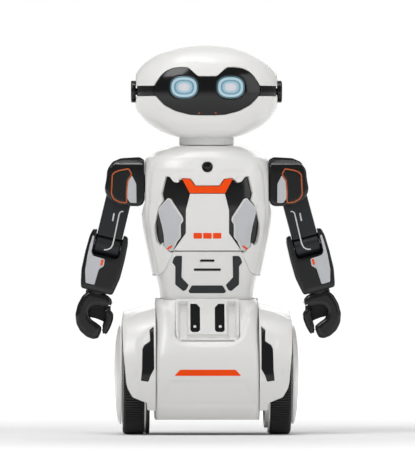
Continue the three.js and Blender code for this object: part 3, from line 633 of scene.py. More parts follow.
WHITE = moulded("white_plastic", (0.79, 0.785, 0.77), (0.27, 0.31), 420, 0.012, 0.006, coat=0.15)
GREY = moulded("grey_plastic", (0.66, 0.66, 0.655), (0.36, 0.44), tone=0.015)
SILVER = moulded("silver_paint", (0.52, 0.53, 0.55), (0.3, 0.38), grain=2600, relief=0.05)
BLACK = moulded("gloss_black_plastic", (0.005, 0.0053, 0.006), (0.13, 0.17), tone=0.1, specular=0.42)
SATIN = moulded("satin_black_plastic", (0.009, 0.0105, 0.0125), (0.38, 0.46), 1800, 0.05, 0.1, specular=0.4)
SLATE = moulded("slate_plastic", (0.011, 0.0135, 0.0165), (0.4, 0.48), 1800, 0.05, 0.08, specular=0.4)
ORANGE = moulded("orange_paint", (0.92, 0.07, 0.0), (0.4, 0.5), grain=1600, relief=0.03, specular=0.2)
RUST = moulded("orange_line_paint", (0.46, 0.085, 0.01), (0.34, 0.44), grain=1600, relief=0.03)
RUBBER = moulded("tyre_rubber", (0.013, 0.0135, 0.0145), (0.5, 0.62), 2200, 0.2, 0.15)
VISOR = moulded("visor_gloss", (0.002, 0.0021, 0.0026), (0.13, 0.16), grain=300, relief=0.004, specular=0.4)
BOARD = moulded("circuit_board", (0.01, 0.09, 0.035), (0.3, 0.5), grain=3000, relief=0.1)
CELL = moulded("battery_sleeve", (0.03, 0.05, 0.09), (0.3, 0.4), tone=0.06)
STEEL = moulded("ground_steel", (0.55, 0.55, 0.57), (0.22, 0.36), grain=1500, relief=0.05)
STEEL.node_tree.nodes["Principled BSDF"].inputs["Metallic"].default_value = 1.0

CARRIED = {
    "power_switch": SATIN,
    "speaker": SATIN,
    "main_board": BOARD,
    "battery_pack": CELL,
    "gear_motor_left": SATIN,
    "gear_motor_right": SATIN,
    "wheel_axle_left": STEEL,
    "wheel_axle_right": STEEL,
}


def dress():
    """Gives the CAD nodes that stay visible a finished material."""
    for name, material in CARRIED.items():
        for slot in frame["nodes"][name].material_slots:
            slot.material = material


def make(name, mesh, material, body, replaces=()):
    """Adds a mesh drawn in millimetres as a piece that rides on a body."""
    points, faces = mesh
    data = bpy.data.meshes.new(name)
    data.from_pydata([tuple(p) for p in points * MM], [], faces)
    data.validate()
    data.update()
    data.polygons.foreach_set("use_smooth", np.ones(len(data.polygons), bool))
    data.materials.append(material)
    piece = bpy.data.objects.new(name, data)
    bpy.context.scene.collection.objects.link(piece)
    data.set_sharp_from_angle(angle=math.radians(40))
    weighted = piece.modifiers.new("weighted", "WEIGHTED_NORMAL")
    weighted.keep_sharp = True
    weighted.weight = 60
    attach(piece, body)
    if replaces:
        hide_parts(*replaces)
    return piece


def paint(name, form, outline, material, body, lift, step, spacing, gap=0.0):
    """A thin printed mark on the front of a form."""
    mark = panel(form, outline, lift=lift, thickness=0.4, bevel=0.1, gap=gap, step=step, spacing=spacing)
    make(name, mark, material, body)


# ---------------------------------------------------------------- head

HEAD = HeadForm()
VISOR_OUTLINE = rounded(
    both(
        [
            (7.3, 273.9), (13.4, 279.6), (15.2, 280.7), (20, 281.0), (26.6, 280.2), (31.6, 278.0),
            (35.6, 274.4), (39.0, 269.4), (41.2, 265.4), (41.2, 261.0), (38.6, 257.4), (32.9, 251.6),
            (24, 247.3), (12.6, 244.7), (4, 244.4),
        ]
    ),
    1.5,
)
FULL_TURN = np.linspace(-math.pi, math.pi, 181)


def build_head():
    hole = grown(HEAD.front(VISOR_OUTLINE), GAP + 0.3)
    top = np.stack([FULL_TURN, np.full(len(FULL_TURN), math.pi / 2)], 1) * HEAD.REACH
    upper = between(HEAD.level(FULL_TURN, BAND_HIGH + 0.55), top, 41)
    shell = patch(HEAD, [upper], [hole], bevel=0.4, spacing=2.2)
    make("head_top_shell", shell, WHITE, "head", ["head_upper_shell"])
    rim = np.stack([FULL_TURN, neck_line(FULL_TURN)], 1) * HEAD.REACH
    lower = between(HEAD.level(FULL_TURN, BAND_LOW - 0.55), rim, 41)
    shell = patch(HEAD, [lower], [hole], bevel=0.4, spacing=2.2)
    make("head_bottom_shell", shell, WHITE, "head", ["head_lower_shell"])
    strip = between(HEAD.level(FULL_TURN, BAND_LOW - 0.4), HEAD.level(FULL_TURN, BAND_HIGH + 0.4), 9)
    band = patch(HEAD, [strip], [hole], lift=-BAND_SINK, bevel=0.1, thickness=1.4, spacing=2.0)
    make("ear_to_ear_band", band, BLACK, "head", ["head_band"])
    build_visor()
    build_ears()
    build_neck()


def neck_line(angles):
    """Angle below the head's middle at which its surface is as wide as the neck hole."""
    radius = NECK_R + 0.9
    tilt = np.linspace(-math.pi / 2, -0.6, 400)
    out = []
    for angle in angles:
        p = HEAD.point(np.stack([np.full(400, angle), tilt], 1) * HEAD.REACH)
        out.append(np.interp(radius, np.hypot(p[:, 0], p[:, 1]), tilt))
    return np.array(out)


def build_visor():
    eyes = [oval(sign * EYE_X, EYE_Z, 11.1, 9.0, 56, 2.5) for sign in (1, -1)]
    visor = panel(HEAD, VISOR_OUTLINE, eyes, lift=-0.1, thickness=2.0, bevel=0.7, gap=GAP)
    make("visor_screen", visor, VISOR, "head", ["visor"])
    outline = rounded(both([(4.6, 246.4), (5.6, 245.3)]), 0.4)
    window = panel(HEAD, outline, lift=0.12, thickness=0.5, bevel=0.12, step=0.5, spacing=0.8)
    make("infrared_window", window, BLACK, "head")
    for side, sign in SIDES:
        tip = rounded([(5.2, 246.4), (6.4, 246.6), (7.0, 245.8), (6.0, 245.4)], 0.3)
        paint(f"infrared_tip_{side}", HEAD, facing(tip, sign), RUST, "head", 0.12, 0.4, 0.5, gap=0.05)
        build_eye(side, sign)


def build_eye(side, sign):
    """Nested light guides in a dark lens: a halo, a dark ring, a bright ring and a pale core."""
    centre = (sign * EYE_X * MM, HEAD.point(HEAD.front([(sign * EYE_X, EYE_Z)]))[0][1] * MM, EYE_Z * MM)

    def ring(a, b):
        return oval(sign * EYE_X, EYE_Z, a, b, 56, 2.5)

    def glow(part, colour, strength=0.95):
        return lit(f"eye_{part}_{side}", centre, colour, strength)

    layers = [
        ("lens", ring(11.0, 8.9), [], -0.55, VISOR),
        ("glow", ring(10.9, 8.8), [ring(9.7, 7.6)], -0.45, glow("glow", (0.10, 0.2, 0.25), 0.8)),
        ("halo", ring(9.7, 7.6), [ring(7.7, 5.8)], -0.4, glow("halo", (0.50, 0.72, 0.82))),
        ("dark_ring", ring(7.7, 5.8), [ring(6.3, 4.5)], -0.35, glow("dark", (0.2, 0.36, 0.47))),
        ("bright_ring", ring(6.3, 4.5), [ring(4.5, 3.0)], -0.3, glow("bright", (0.38, 0.58, 0.68))),
        ("core", ring(4.5, 3.0), [], -0.3, glow("core", (0.66, 0.66, 0.71))),
    ]
    for name, outer, inner, lift, material in layers:
        mesh = panel(HEAD, outer, inner, gap=0.04, bevel=0.12, lift=lift, thickness=0.8, spacing=0.9)
        replaced = [f"eye_light_{side}"] if name == "lens" else ()
        piece = make(f"eye_{name}_{side}", mesh, material, "head", replaced)


def build_ears():
    for side, sign in SIDES:
        low_corner, high_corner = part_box(f"ear_cap_{side}")
        high = max(abs(low_corner.x), abs(high_corner.x)) / MM
        radius = (high_corner.z - low_corner.z) / 2 / MM
        face = HEAD_A + 0.1
        arc = [(radius - 1 + math.sin(a), high - 1 + math.cos(a)) for a in np.linspace(math.pi / 2, 0, 6)]
        profile = [(0, face - 4), (2.6, face - 4), (2.6, face), (radius - 0.5, face), (radius, face + 0.4)]
        profile += [(radius, face + 1.1), (radius - 0.5, face + 1.3), (radius, face + 1.5)] + arc
        profile += [(radius - 2.6, high), (radius - 3.0, high - 0.35), (radius - 3.5, high - 0.35)]
        profile += [(radius - 3.9, high), (0, high)]
        cap = sided(lathe(profile, "x", (0, 0, HEAD_Z), 72), sign)
        make(f"ear_button_{side}", cap, BLACK, "head", [f"ear_cap_{side}"])


def build_neck():
    low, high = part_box("neck_tube")
    bottom, top = low.z / MM, high.z / MM
    foot = bottom + 12
    profile = [
        (9.4, bottom), (11.6, bottom), (11.6, foot - 0.3), (NECK_R - 0.5, foot), (NECK_R, foot + 0.5),
        (NECK_R, top - 0.4), (NECK_R - 0.4, top), (NECK_R - 2.4, top), (NECK_R - 2.4, foot + 2.4),
        (9.4, foot + 2.4),
    ]
    make("neck_collar", lathe(profile, "z", sides=128), GREY, "head", ["neck_tube"])


# ---------------------------------------------------------------- torso

TORSO = TorsoForm(
    [
        (121, 41.2, 31, 28.5, 2.7), (138, 44.6, 33.8, 30.5, 2.7), (163, 49.1, 37, 32.8, 2.7),
        (175, 49.9, 38, 33.2, 2.7), (188, 49.7, 37.8, 33, 2.7), (200, 48.7, 36, 32, 2.7),
        (208, 47.4, 33.2, 30, 2.7), (211.2, 46.0, 31.6, 28.8, 2.6), (213.5, 42.2, 30, 27.6, 2.5),
        (217.5, 36.2, 26.8, 25.2, 2.4), (220.0, 29.5, 23.6, 23.0, 2.2), (220.6, 25.5, 22.0, 22.0, 2.05),
        (220.7, 22.0, 21.4, 21.4, 2),
    ]
)
WAIST = Form(
    [
        (97, 34.4, 27, 24.6, 2.7), (113, 36.6, 29, 26, 2.7), (121, 38.3, 30.4, 27, 2.7),
        (140.4, 41.4, 33.6, 29, 2.7),
    ]
)
WINDOW = rounded(
    [
        (31.9, 197.6), (35.3, 184.0), (33.9, 178.9), (37.2, 174.0), (39.1, 169.4), (40.7, 161.4),
        (40.2, 152.4), (39.2, 147.3), (36.7, 144.4), (34.4, 146.6), (33.2, 143.6), (28.0, 139.0),
        (26.4, 139.8), (22.7, 145.8), (16.9, 153.6), (16.9, 171.6), (13.9, 184.2), (19.4, 195.4),
        (22.4, 194.2), (25.2, 194.6), (27.9, 196.6),
    ],
    0.7,
)
CHEST_HOLE = both(
    [(9.2, 190.2), (13.0, 195.4), (19.6, 196.0), (13.8, 184.2)]
    + [(16.8, 171.6), (16.8, 154), (22.4, 146), (26.4, 139.6)]
)
CHEST_BAND = both([(9.3, 190.0), (13.2, 195.2), (19.7, 195.7), (13.6, 184.3)])
CHEST_PLATE = both([(13.4, 184.2), (16.6, 171.6), (16.6, 154), (22.3, 146), (26.2, 140.5)])
FLANK = rounded(
    [
        (30.4, 180.9), (36.4, 174.1), (37.7, 170), (34.8, 159.1), (33.5, 152.2), (32.9, 144.0),
        (28.0, 139.8), (26.4, 140.4), (22.7, 148.0), (20.4, 150.4), (20.4, 160.3), (18.4, 163.2),
        (18.8, 165.9), (28.3, 180.2),
    ],
    0.9,
)
SIDE_TRIM = rounded(
    [
        (19.3, 136.7), (24.0, 136.7), (25.5, 135.2), (26.7, 131.6), (24.3, 128.6), (24.3, 114.7),
        (18.2, 109.6), (16.0, 110.7), (14.2, 114.4), (19.7, 120.2),
    ],
    0.7,
)
FOOT_TRIM = rounded(both([(11.7, 114.1), (14.3, 109.7), (13.2, 108.1)]), 0.6)


def slot_outline(half, z, height):
    return rounded(both([(half, z + height), (half, z - height)]), height, 6)


TORSO_TOP = TORSO.rows[-1][0]


def chest_relief(p):
    """The breastplate's edge, the brow line over the windows, and the frame round the sensor."""
    x, z = np.abs(p[:, 0]), p[:, 2]
    edge = np.interp(z, [124, 150, 170, 185, 200, 209, 216], [39.5, 45.4, 45.6, 45.0, 43.4, 39.4, 33.0])
    flank = np.exp(-(((x - edge) / 0.9) ** 2)) * soft_step(209 - z, 0, 5)
    brow = soft_step(202.2 - z, -0.5, 0.5) * soft_step(x, 9.5, 11.5) * soft_step(edge - 3 - x, 0, 2)
    frame_z = 209.6 - 0.9 * np.clip(x - 8.5, 0, 5)
    frame_line = np.exp(-(((z - frame_z) / 0.5) ** 2)) * soft_step(13.5 - x, 0, 0.5) * (z > 203)
    recess = soft_step(x - 37.6, 0, 1.4) * soft_step(44.5 - x, 0, 1.5)
    recess = recess * soft_step(z, 158, 162) * soft_step(178 - z, 0, 3)
    return -(0.9 * flank + 0.5 * brow + 0.35 * frame_line + 1.0 * recess * (1 - flank)) * (p[:, 1] < 0)


def build_torso():
    right, left = seams(TORSO, 123.4, TORSO_TOP, True, 60)
    foot = [(-40.4, 122.8), (-38.2, 121.8), (-33.8, 124.9), (-27.2, 138.4), (-26.8, 140.6)]
    foot = TORSO.front(foot + mirror(foot), closed=False)
    outer = np.vstack([right, across(right[-1], left[0], 80), left, foot])
    holes = [
        grown(TORSO.front(WINDOW), GAP + 0.5),
        grown(TORSO.front(mirror(WINDOW)), GAP + 0.5),
        grown(TORSO.front(CHEST_HOLE), GAP + 0.5),
        TORSO.front(oval(0, SENSOR_Z, SENSOR_R + 0.7, SENSOR_R + 0.7, 40)),
    ]
    shell = patch(relieved(TORSO, chest_relief), [outer], holes, thickness=2.4, bevel=0.5, spacing=1.7)
    make("chest_shell", shell, WHITE, "body", ["torso_front_shell"])

    plate = panel(TORSO, CHEST_PLATE, lift=0.35, thickness=2.4, bevel=0.5)
    make("chest_centre_plate", plate, WHITE, "body", ["chest_plate"])
    band = panel(TORSO, CHEST_BAND, lift=0.25, thickness=2.2, bevel=0.35, spacing=1.4)
    make("collar_band", band, ORANGE, "body", ["chest_band"])
    for side, sign in SIDES:
        build_chest_side(side, sign)
    rail = panel(WAIST, FOOT_TRIM, lift=0.4, thickness=1.6, bevel=0.35, gap=0.05, spacing=1.4)
    make("belly_foot_rail", rail, SLATE, "body", ["belly_trim_foot"])
    build_sensor()
    build_belly()
    build_chest_marks()
    build_back()


def build_chest_side(side, sign):
    recess = facing(grown(WINDOW, 1.4), sign)
    inset = panel(TORSO, recess, lift=-2.9, thickness=1.4, bevel=0.2, gap=0)
    make(f"chest_recess_{side}", inset, BLACK, "body", [f"chest_inset_{side}"])
    flank = panel(TORSO, facing(FLANK, sign), lift=0.25, thickness=2.6, bevel=0.8, gap=0.1)
    make(f"flank_guard_{side}", flank, WHITE, "body", [f"flank_panel_{side}"])
    silver = facing(grown(FLANK, -0.75), sign)
    face = panel(TORSO, silver, lift=0.33, thickness=0.5, bevel=0.12, gap=0)
    make(f"flank_face_{side}", face, SILVER, "body")
    mark = rounded([(26.5, 143.9), (27.4, 144.9), (31.0, 142.3), (30.2, 141.0)], 0.5)
    paint(f"flank_mark_{side}", TORSO, facing(mark, sign), ORANGE, "body", 0.5, 0.5, 0.8)
    tab = [(21.0, 193.8), (23.2, 192.4), (26.0, 193.2), (29.0, 197.4), (28.4, 198.6), (24.0, 198.6)]
    tab = facing(rounded(tab, 0.8), sign)
    brow = panel(TORSO, tab, lift=0.75, thickness=1.4, bevel=0.6, gap=0, step=0.8, spacing=1.2)
    make(f"brow_tab_{side}", brow, WHITE, "body")
    trim = panel(WAIST, facing(SIDE_TRIM, sign), lift=0.4, thickness=1.6, bevel=0.35, gap=0.05, spacing=1.4)
    make(f"belly_rail_{side}", trim, SLATE, "body", [f"belly_trim_{side}"])


def build_sensor():
    y = TORSO.point(TORSO.front([(0, SENSOR_Z)]))[0][1]
    r = SENSOR_R
    ring = [(r - 1.0, y + 2.5), (r, y + 2.5), (r, y - 0.1)]
    ring += [(r - 0.3, y - 0.4), (r - 0.7, y - 0.4), (r - 1.0, y - 0.1)]
    make("sensor_bezel", lathe(ring, "y", (0, 0, SENSOR_Z), 64), BLACK, "body", ["sensor_lens"])
    dome = [((r - 1.1) * math.cos(a), y + 0.9 - 1.0 * math.sin(a)) for a in np.linspace(0, math.pi / 2, 8)]
    dome = [(0, y + 2.4), (r - 1.1, y + 2.4)] + dome
    make("sensor_dome", lathe(dome, "y", (0, 0, SENSOR_Z), 64), VISOR, "body")


def build_belly():
    right, left = seams(WAIST, 97.4, 122.2, True, 18)
    edge = [(37.4, 121.2), (33.6, 124.0), (26.6, 137.8), (26.2, 139.6)]
    upper = WAIST.front(edge + mirror(edge), closed=False)
    outer = np.vstack([right, upper, left, across(left[-1], right[0], 60)])
    slots = [slot_outline(half, z, height) for half, z, height in ((5.75, 132.9, 1.1), (10.6, 126, 1.15))]
    holes = [grown(WAIST.front(slot, 0.5), 0.2) for slot in slots]
    belly = patch(WAIST, [outer], holes, thickness=2.2, bevel=0.35, spacing=1.6)
    make("belly_cover", belly, WHITE, "body", ["belly_shell"])
    y = WAIST.point(WAIST.front([(0, 129)]))[0][1]
    grille = bar(rounded(both([(13, 136), (13, 122)]), 2), y + 2.6, y + 3.8, 0.3)
    make("speaker_cloth", grille, SATIN, "body")


def build_chest_marks():
    """Plain bars where such a robot carries its lettering."""
    half = 3.2
    for k, x in enumerate((-7.4, 0, 7.4)):
        outline = rounded(rectangle(x - half, 154.2, x + half, 149.9), 0.6)
        paint(f"chest_mark_{k + 1}", TORSO, outline, ORANGE, "body", 0.55, 0.7, 1.2)


SCREW_WELL = 2.6  # radius of the round well that a screw sits in


def build_screws(name, form, places):
    """Pan-head screws in round wells on a back face."""
    for i, (x, z) in enumerate(places):
        y = form.point(form.back([(x, z)]))[0][1]
        cup = [(0, y - 3.0), (2.7, y - 3.0), (2.7, y - 0.9), (2.3, y - 0.9), (2.3, y - 2.4), (0, y - 2.4)]
        make(f"{name}_well_{i}", lathe(cup, "y", (x, 0, z), 40), WHITE, "body")
        head = [(0, y - 2.5), (1.8, y - 2.5), (1.8, y - 1.9), (1.5, y - 1.5)]
        head += [(0.8, y - 1.4), (0.6, y - 2.0), (0, y - 2.0)]
        make(f"{name}_{i}", lathe(head, "y", (x, 0, z), 32), STEEL, "body")


def build_back():
    low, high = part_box("battery_door")
    door = rounded(rectangle(low.x / MM, low.z / MM, high.x / MM, high.z / MM), 3)
    low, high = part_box("power_switch")
    middle = (low.z + high.z) / 2 / MM
    switch = rounded(rectangle(-6.4, middle - 2.4, 6.4, middle + 2.4), 0.6)
    holes = [grown(TORSO.back(door), 0.3 + GAP), TORSO.back(switch)]
    holes += [TORSO.back(slot_outline(9, z, 1.0)) for z in (209.4, 205.8)]
    screws = [(sign * x, z) for sign in (1, -1) for x, z in ((31, 201), (33, 128.5))]
    holes += [TORSO.back(oval(x, z, SCREW_WELL, SCREW_WELL, 32)) for x, z in screws]
    outer = upright_shell(TORSO, 121.4, TORSO_TOP, False)
    back = patch(TORSO, [outer], holes, thickness=2.4, bevel=0.35, spacing=2.0)
    make("back_shell", back, WHITE, "body", ["torso_back_shell"])
    build_screws("back_screw", TORSO, screws)
    latch = rounded(rectangle(-7, 135.6, 7, 139.4), 1.2)
    edge = grown(TORSO.back(door), -0.5)
    lid = patch(TORSO, [edge], [TORSO.back(latch)], thickness=2.2, bevel=0.4, spacing=2.2)
    make("battery_lid", lid, WHITE, "body", ["battery_door"])
    tongue = patch(TORSO, [grown(TORSO.back(latch), -0.3)], lift=-1.1, thickness=0.9, bevel=0.25, spacing=1.4)
    make("battery_latch", tongue, WHITE, "body")
    outer = upright_shell(WAIST, 97.4, 120.8, False, 14, 60)
    waist = patch(WAIST, [outer], thickness=2.2, bevel=0.35, spacing=2.0)
    make("back_waist", waist, WHITE, "body")


# ---------------------------------------------------------------- base

BASE = Form(
    [
        (11.5, 39.6, 40, 38, 14), (14.5, 39.9, 43, 40.5, 15), (18.6, 40, 46, 43, 16),
        (27, 40, 50.3, 46.5, 16), (42, 40, 52.8, 48.6, 16), (60, 40, 50, 46.4, 14),
        (73, 40, 44.4, 42, 10), (85, 40, 38.8, 36.6, 7), (95, 39.8, 34, 32, 5),
        (104.4, 39.2, 31.4, 29, 4),
    ]
)
HIP_PANEL = rounded(both([(24.4, 104.8), (24.4, 76), (20.4, 72.6)]), 2.4)
STRIP = rounded(
    [(13.3, 100.4), (13.3, 80.3), (11.8, 78.7), (7.2, 78.7), (5.4, 80.3), (5.4, 97.4), (8.2, 100.4)], 0.35
)
STRIPE = rounded(both([(21.2, 50.2), (25.6, 45.4)]), 0.9)
FENDER_EDGE = [
    (39.6, 18.3), (46, 18.9), (46.5, 24.9), (48.2, 25.2), (57.4, 29), (61.2, 35.8), (62.3, 40.2),
    (63.3, 52.5), (64.5, 64), (65.0, 75), (65.0, 84), (64.7, 92.6),
]
SIDE_INTAKE = rounded(
    [
        (41.2, 83.3), (44.2, 80.3), (43.8, 72.5), (48.5, 69.3), (49.8, 66.3), (50.1, 50), (50.9, 41.7),
        (45.3, 40.8), (43.9, 45.1), (40.9, 50.8),
    ],
    0.7,
)
FENDER_ARCH = Arch(
    [(39, 51.4, 55.4), (46, 51.4, 53.8), (54, 51, 51.8)]
    + [(61, 50, 49.6), (63.4, 49.4, 48.9), (65.2, 48.2, 47.9)]
)


def base_relief(p):
    """The front's moulded folds: a saddle that runs into the waist, and a sunken lower face."""
    x, z = np.abs(p[:, 0]), p[:, 2]
    edge = np.interp(z, [66, 69.5, 74, 85, 95, 98, 101.4, 104.4], [0, 18.5, 25.8, 29.4, 31.8, 34.5, 38, 39.4])
    depth = np.interp(z, [67, 80, 95, 104.4], [1.2, 2.0, 3.0, 3.6])
    saddle = depth * soft_step(edge - x, -1.8, 2.4) * soft_step(z, 67.2, 71.4)
    side = np.interp(z, [22, 41.7], [38.6, 29.4])
    lower = soft_step(side - x, -1.2, 2.0) * soft_step(42.6 - z, -0.8, 2.6) * soft_step(z, 20.5, 23.5)
    return -(saddle + 1.1 * lower) * (p[:, 1] < 0)


def build_base():
    shaped = relieved(BASE, base_relief)
    low, high = 11.9, 103.8
    outer = upright_shell(BASE, low, high, True)
    holes = [grown(BASE.front(HIP_PANEL), GAP + 0.5), grown(BASE.front(STRIPE), GAP)]
    front = patch(shaped, [outer], holes, thickness=2.4, bevel=0.5, spacing=1.7)
    make("base_front", front, WHITE, "body", ["base_front_shell"])
    back_holes = [BASE.back(rounded(rectangle(-15, z - 0.8, 15, z + 0.8), 0.8), 1.0) for z in (64, 60, 56)]
    screws = [(sign * x, z) for sign in (1, -1) for x, z in ((30, 93), (31, 28))]
    back_holes += [BASE.back(oval(x, z, SCREW_WELL, SCREW_WELL, 32)) for x, z in screws]
    build_screws("base_screw", BASE, screws)
    outer = upright_shell(BASE, low, high, False)
    back = patch(BASE, [outer], back_holes, thickness=2.4, bevel=0.5, spacing=2.0)
    make("base_back", back, WHITE, "body", ["base_back_shell"])
    stripe = panel(BASE, STRIPE, lift=0.12, thickness=1.2, bevel=0.2, gap=0.05)
    make("base_stripe_plate", stripe, ORANGE, "body", ["base_stripe"])
    build_hip()
    for side, sign in SIDES:
        build_fender(side, sign)


def build_hip():
    strips = [grown(BASE.front(STRIP), 0.15), grown(BASE.front(mirror(STRIP)), 0.15)]

    def relief(p):
        """Two upright troughs and the groove that joins them."""
        x, z = np.abs(p[:, 0]), p[:, 2]
        trough = soft_step(3.5 - np.abs(x - 18.6), -0.3, 1.0)
        trough = trough * soft_step(z, 73.4, 75.4) * soft_step(101.9 - z, -0.2, 1.6)
        link = soft_step(18 - x, 0, 1) * soft_step(1.3 - np.abs(z - 75.6), -0.4, 0.6)
        return -3.8 * np.maximum(trough, 0.5 * link)

    outline = [(x, min(z, 104.3)) for x, z in HIP_PANEL]
    shaped = relieved(BASE, relief)
    outer = grown(BASE.front(outline, 1.0), -(GAP + 0.5))
    plate = patch(shaped, [outer], strips, lift=-0.4, thickness=2.6, bevel=0.5, spacing=0.9)
    make("hip_plate", plate, WHITE, "body", ["hip_panel"])
    for side, sign in SIDES:
        strip = panel(BASE, facing(STRIP, sign), lift=-0.55, thickness=1.2, bevel=0.15, gap=-0.1, spacing=1.4)
        make(f"hip_insert_{side}", strip, BLACK, "body", [f"hip_strip_{side}"])
        x, y, z = BASE.point(BASE.front([(sign * 9.7, 82.6)]))[0]
        r = 1.25
        dome = [(r * math.cos(a), y + 0.62 - 0.45 * math.sin(a)) for a in np.linspace(0, math.pi / 2, 5)]
        rivet = lathe([(0, y + 1.6), (r, y + 1.6)] + dome, "y", (x, 0, z), 24)
        make(f"hip_rivet_{side}", rivet, WHITE, "body")


def fender_relief(p):
    """A chamfer along the top, a crease round the intake, and a shallow dish low down."""
    x, z = np.abs(p[:, 0]), p[:, 2]
    crease = np.interp(z, [43, 72, 77, 82], [53.5, 53.5, 49, 44])
    ring = soft_step(crease - x, -0.6, 1.8) * soft_step(z, 41, 45) * soft_step(84 - z, 0, 4)
    dish = soft_step(1.9 - np.abs(x - 56.3), -0.5, 1.2) * soft_step(3.6 - np.abs(z - 46.5), -0.5, 1.4)
    top = np.interp(x, [40, 52, 63], [97.0, 94.0, 88.4])
    chamfer = soft_step(z - top, -0.5, 1.2)
    return -0.9 * ring * (p[:, 1] < 0) - 0.7 * dish - 0.7 * chamfer


def build_fender(side, sign):
    shaped = relieved(FENDER_ARCH, fender_relief)
    ends = [(x, z) for x, z in rounded(FENDER_EDGE, 1.2)[5:-5]]
    edge = FENDER_ARCH.front([FENDER_EDGE[0]] + ends + [FENDER_EDGE[-1]], 1.4, False)
    crown = np.array([[64.5, math.pi / 2 * FENDER_ARCH.REACH]])
    over = edge[::-1] * [1, -1] + [0, math.pi * FENDER_ARCH.REACH]
    start, end = edge[0], over[-1]
    inner = start + (end - start) * np.linspace(1, 0, 130)[1:-1, None]
    outer = grown(np.vstack([edge, crown, over, inner]), -0.5)
    hole = grown(FENDER_ARCH.front(SIDE_INTAKE, 1.2), GAP + 0.4)
    guard = patch(shaped, [outer], [hole], thickness=2.0, bevel=0.5, spacing=1.7)
    make(f"fender_shell_{side}", sided(guard, sign), WHITE, "body", [f"fender_{side}"])
    sunk = grown(FENDER_ARCH.front(SIDE_INTAKE, 1.2), 0.2)
    intake = patch(FENDER_ARCH, [sunk], lift=-1.7, thickness=1.0, bevel=0.2)
    make(f"intake_{side}", sided(intake, sign), BLACK, "body", [f"side_intake_{side}"])
    radius, foot = 46.6, 19
    turn = np.linspace(math.pi * 0.9, -math.pi * 0.12, 40)
    wall = [(-46.5, 60)] + [(radius * math.cos(a), AXLE_Z + radius * math.sin(a)) for a in turn]
    outline = [(y, z) for y, z in wall if z > foot] + [(38, foot), (-38, foot)]
    side_wall = bar(outline, -42.6, -40.2, 0.3, spacing=3.0)
    turned_wall = moved(side_wall, Matrix.Rotation(math.pi / 2, 4, "Z"))
    make(f"wheel_well_{side}", sided(turned_wall, sign), WHITE, "body")


# ---------------------------------------------------------------- wheels


def groove(radius, where):
    """A narrow ring cut into a turned face."""
    return math.exp(-(((radius - where) / 0.55) ** 2))


def build_wheel(side, sign):
    inner, outer, bore = 48.2, 64.2, 41.2
    ribs, detail = 128, 4

    def ribbed(k, loop):
        tread = soft_step(loop[:, 0], TYRE_R - 2.4, TYRE_R - 1.2)
        return -1.1 * tread * (k % detail >= detail // 2)

    turn = np.linspace(0.1, math.pi / 2, 6)
    shoulder = [(TYRE_R - 2.6 + 2.6 * math.sin(a), outer - 2.6 + 2.6 * math.cos(a)) for a in turn]
    profile = [(bore, inner), (TYRE_R - 0.9, inner), (TYRE_R - 0.2, inner + 0.3), (TYRE_R, inner + 1)]
    profile += shoulder[::-1] + [(bore, outer)]
    centre = (0, 0, AXLE_Z)
    tyre = lathe(profile, "x", centre, ribs * detail, ribbed)
    make(f"tyre_band_{side}", sided(tyre, sign), RUBBER, f"wheel_{side}", [f"tyre_{side}"])
    base, rise, r = 65.3, 5.3, 37.9
    turn = np.linspace(0, math.pi / 2, 64)
    dome = [(r * math.cos(a), base + 0.6 + (rise - 0.6) * math.sin(a)) for a in turn]
    dome = [(q, x - 0.55 * groove(q, 31.0) - 0.4 * groove(q, 9.0)) for q, x in dome]
    face = [q for q in dome if q[0] > 0.5] + [(0, base + rise)]
    loop = [(0, base + 3.2), (r - 6, base + 0.9), (r - 2, base), (r, base)] + face
    cap = lathe(loop, "x", centre, 128)
    make(f"hubcap_dome_{side}", sided(cap, sign), WHITE, f"wheel_{side}", [f"hubcap_{side}"])
    rim = [
        (6.5, 47.0), (6.5, 56), (38, 58), (38, 44), (40.8, 44), (40.8, 46.75), (44.6, 46.75),
        (44.8, 47.0), (44.8, 47.7), (44.6, 47.95), (40.8, 47.95), (40.8, 64.2), (38.2, 64.6),
        (36.5, 61), (6.5, 60), (6.5, 61.5), (2.3, 61.5), (2.3, 47.0),
    ]
    core = sided(lathe(rim, "x", centre, 96), sign)
    make(f"wheel_core_{side}", core, WHITE, f"wheel_{side}", [f"wheel_rim_{side}"])
    if side == "right":
        crown = TYRE_R - 0.2
        ring = [(41.1, 43.95), (44.9, 43.95), (crown, 44.4), (crown, 46.1), (44.9, 46.55), (41.1, 46.55)]
        narrow = sided(lathe(ring, "x", centre, 96), sign)
        make("inner_tyre_right", narrow, RUBBER, "wheel_right", ["grip_ring_right"])


# ---------------------------------------------------------------- arms

ARM_LENGTH = 44.0
HOUSING = [
    (-18, 23), (-14.3, 25.2), (0, 24.4), (6.4, 21.6), (10.4, 15.6), (10.9, 9), (12.3, 1.5),
    (11.8, -2.5), (7.6, -8.2), (2.1, -11.7), (-3.1, -12.3), (-13.8, -12.5), (-16.6, -11), (-18, -7.8),
]
HOUSING_PANEL = [
    (-5.7, 15.8), (-7.7, 11.9), (-4.6, 7.3), (-3.8, -1.5), (-3.8, -9.5), (1.0, -8.9), (5.4, -6.4),
    (7.0, -3.0), (6.3, 11.4), (4.4, 13.4), (1.0, 14.7),
]
HOUSING_GREY = [
    (-8.4, 11.0), (-11.6, 4.7), (-11.8, -9.9), (-7.2, -9.9), (-4.7, -6.6), (-4.7, -1.4), (-5.4, 6.7),
]
FOREARM_OUTLINE = [
    (10.4, 10.8), (13.4, 10.4), (15, 5), (15.5, -8), (15.2, -22), (13.6, -30.5), (12.4, -36),
    (-12.4, -36), (-13.6, -30.5), (-15.2, -22), (-15.5, -8), (-15, 5), (-13.4, 10.4), (-10.4, 10.8),
    (-10.4, -6.4), (-8.4, -9.2), (8.4, -9.2), (10.4, -6.4),
]
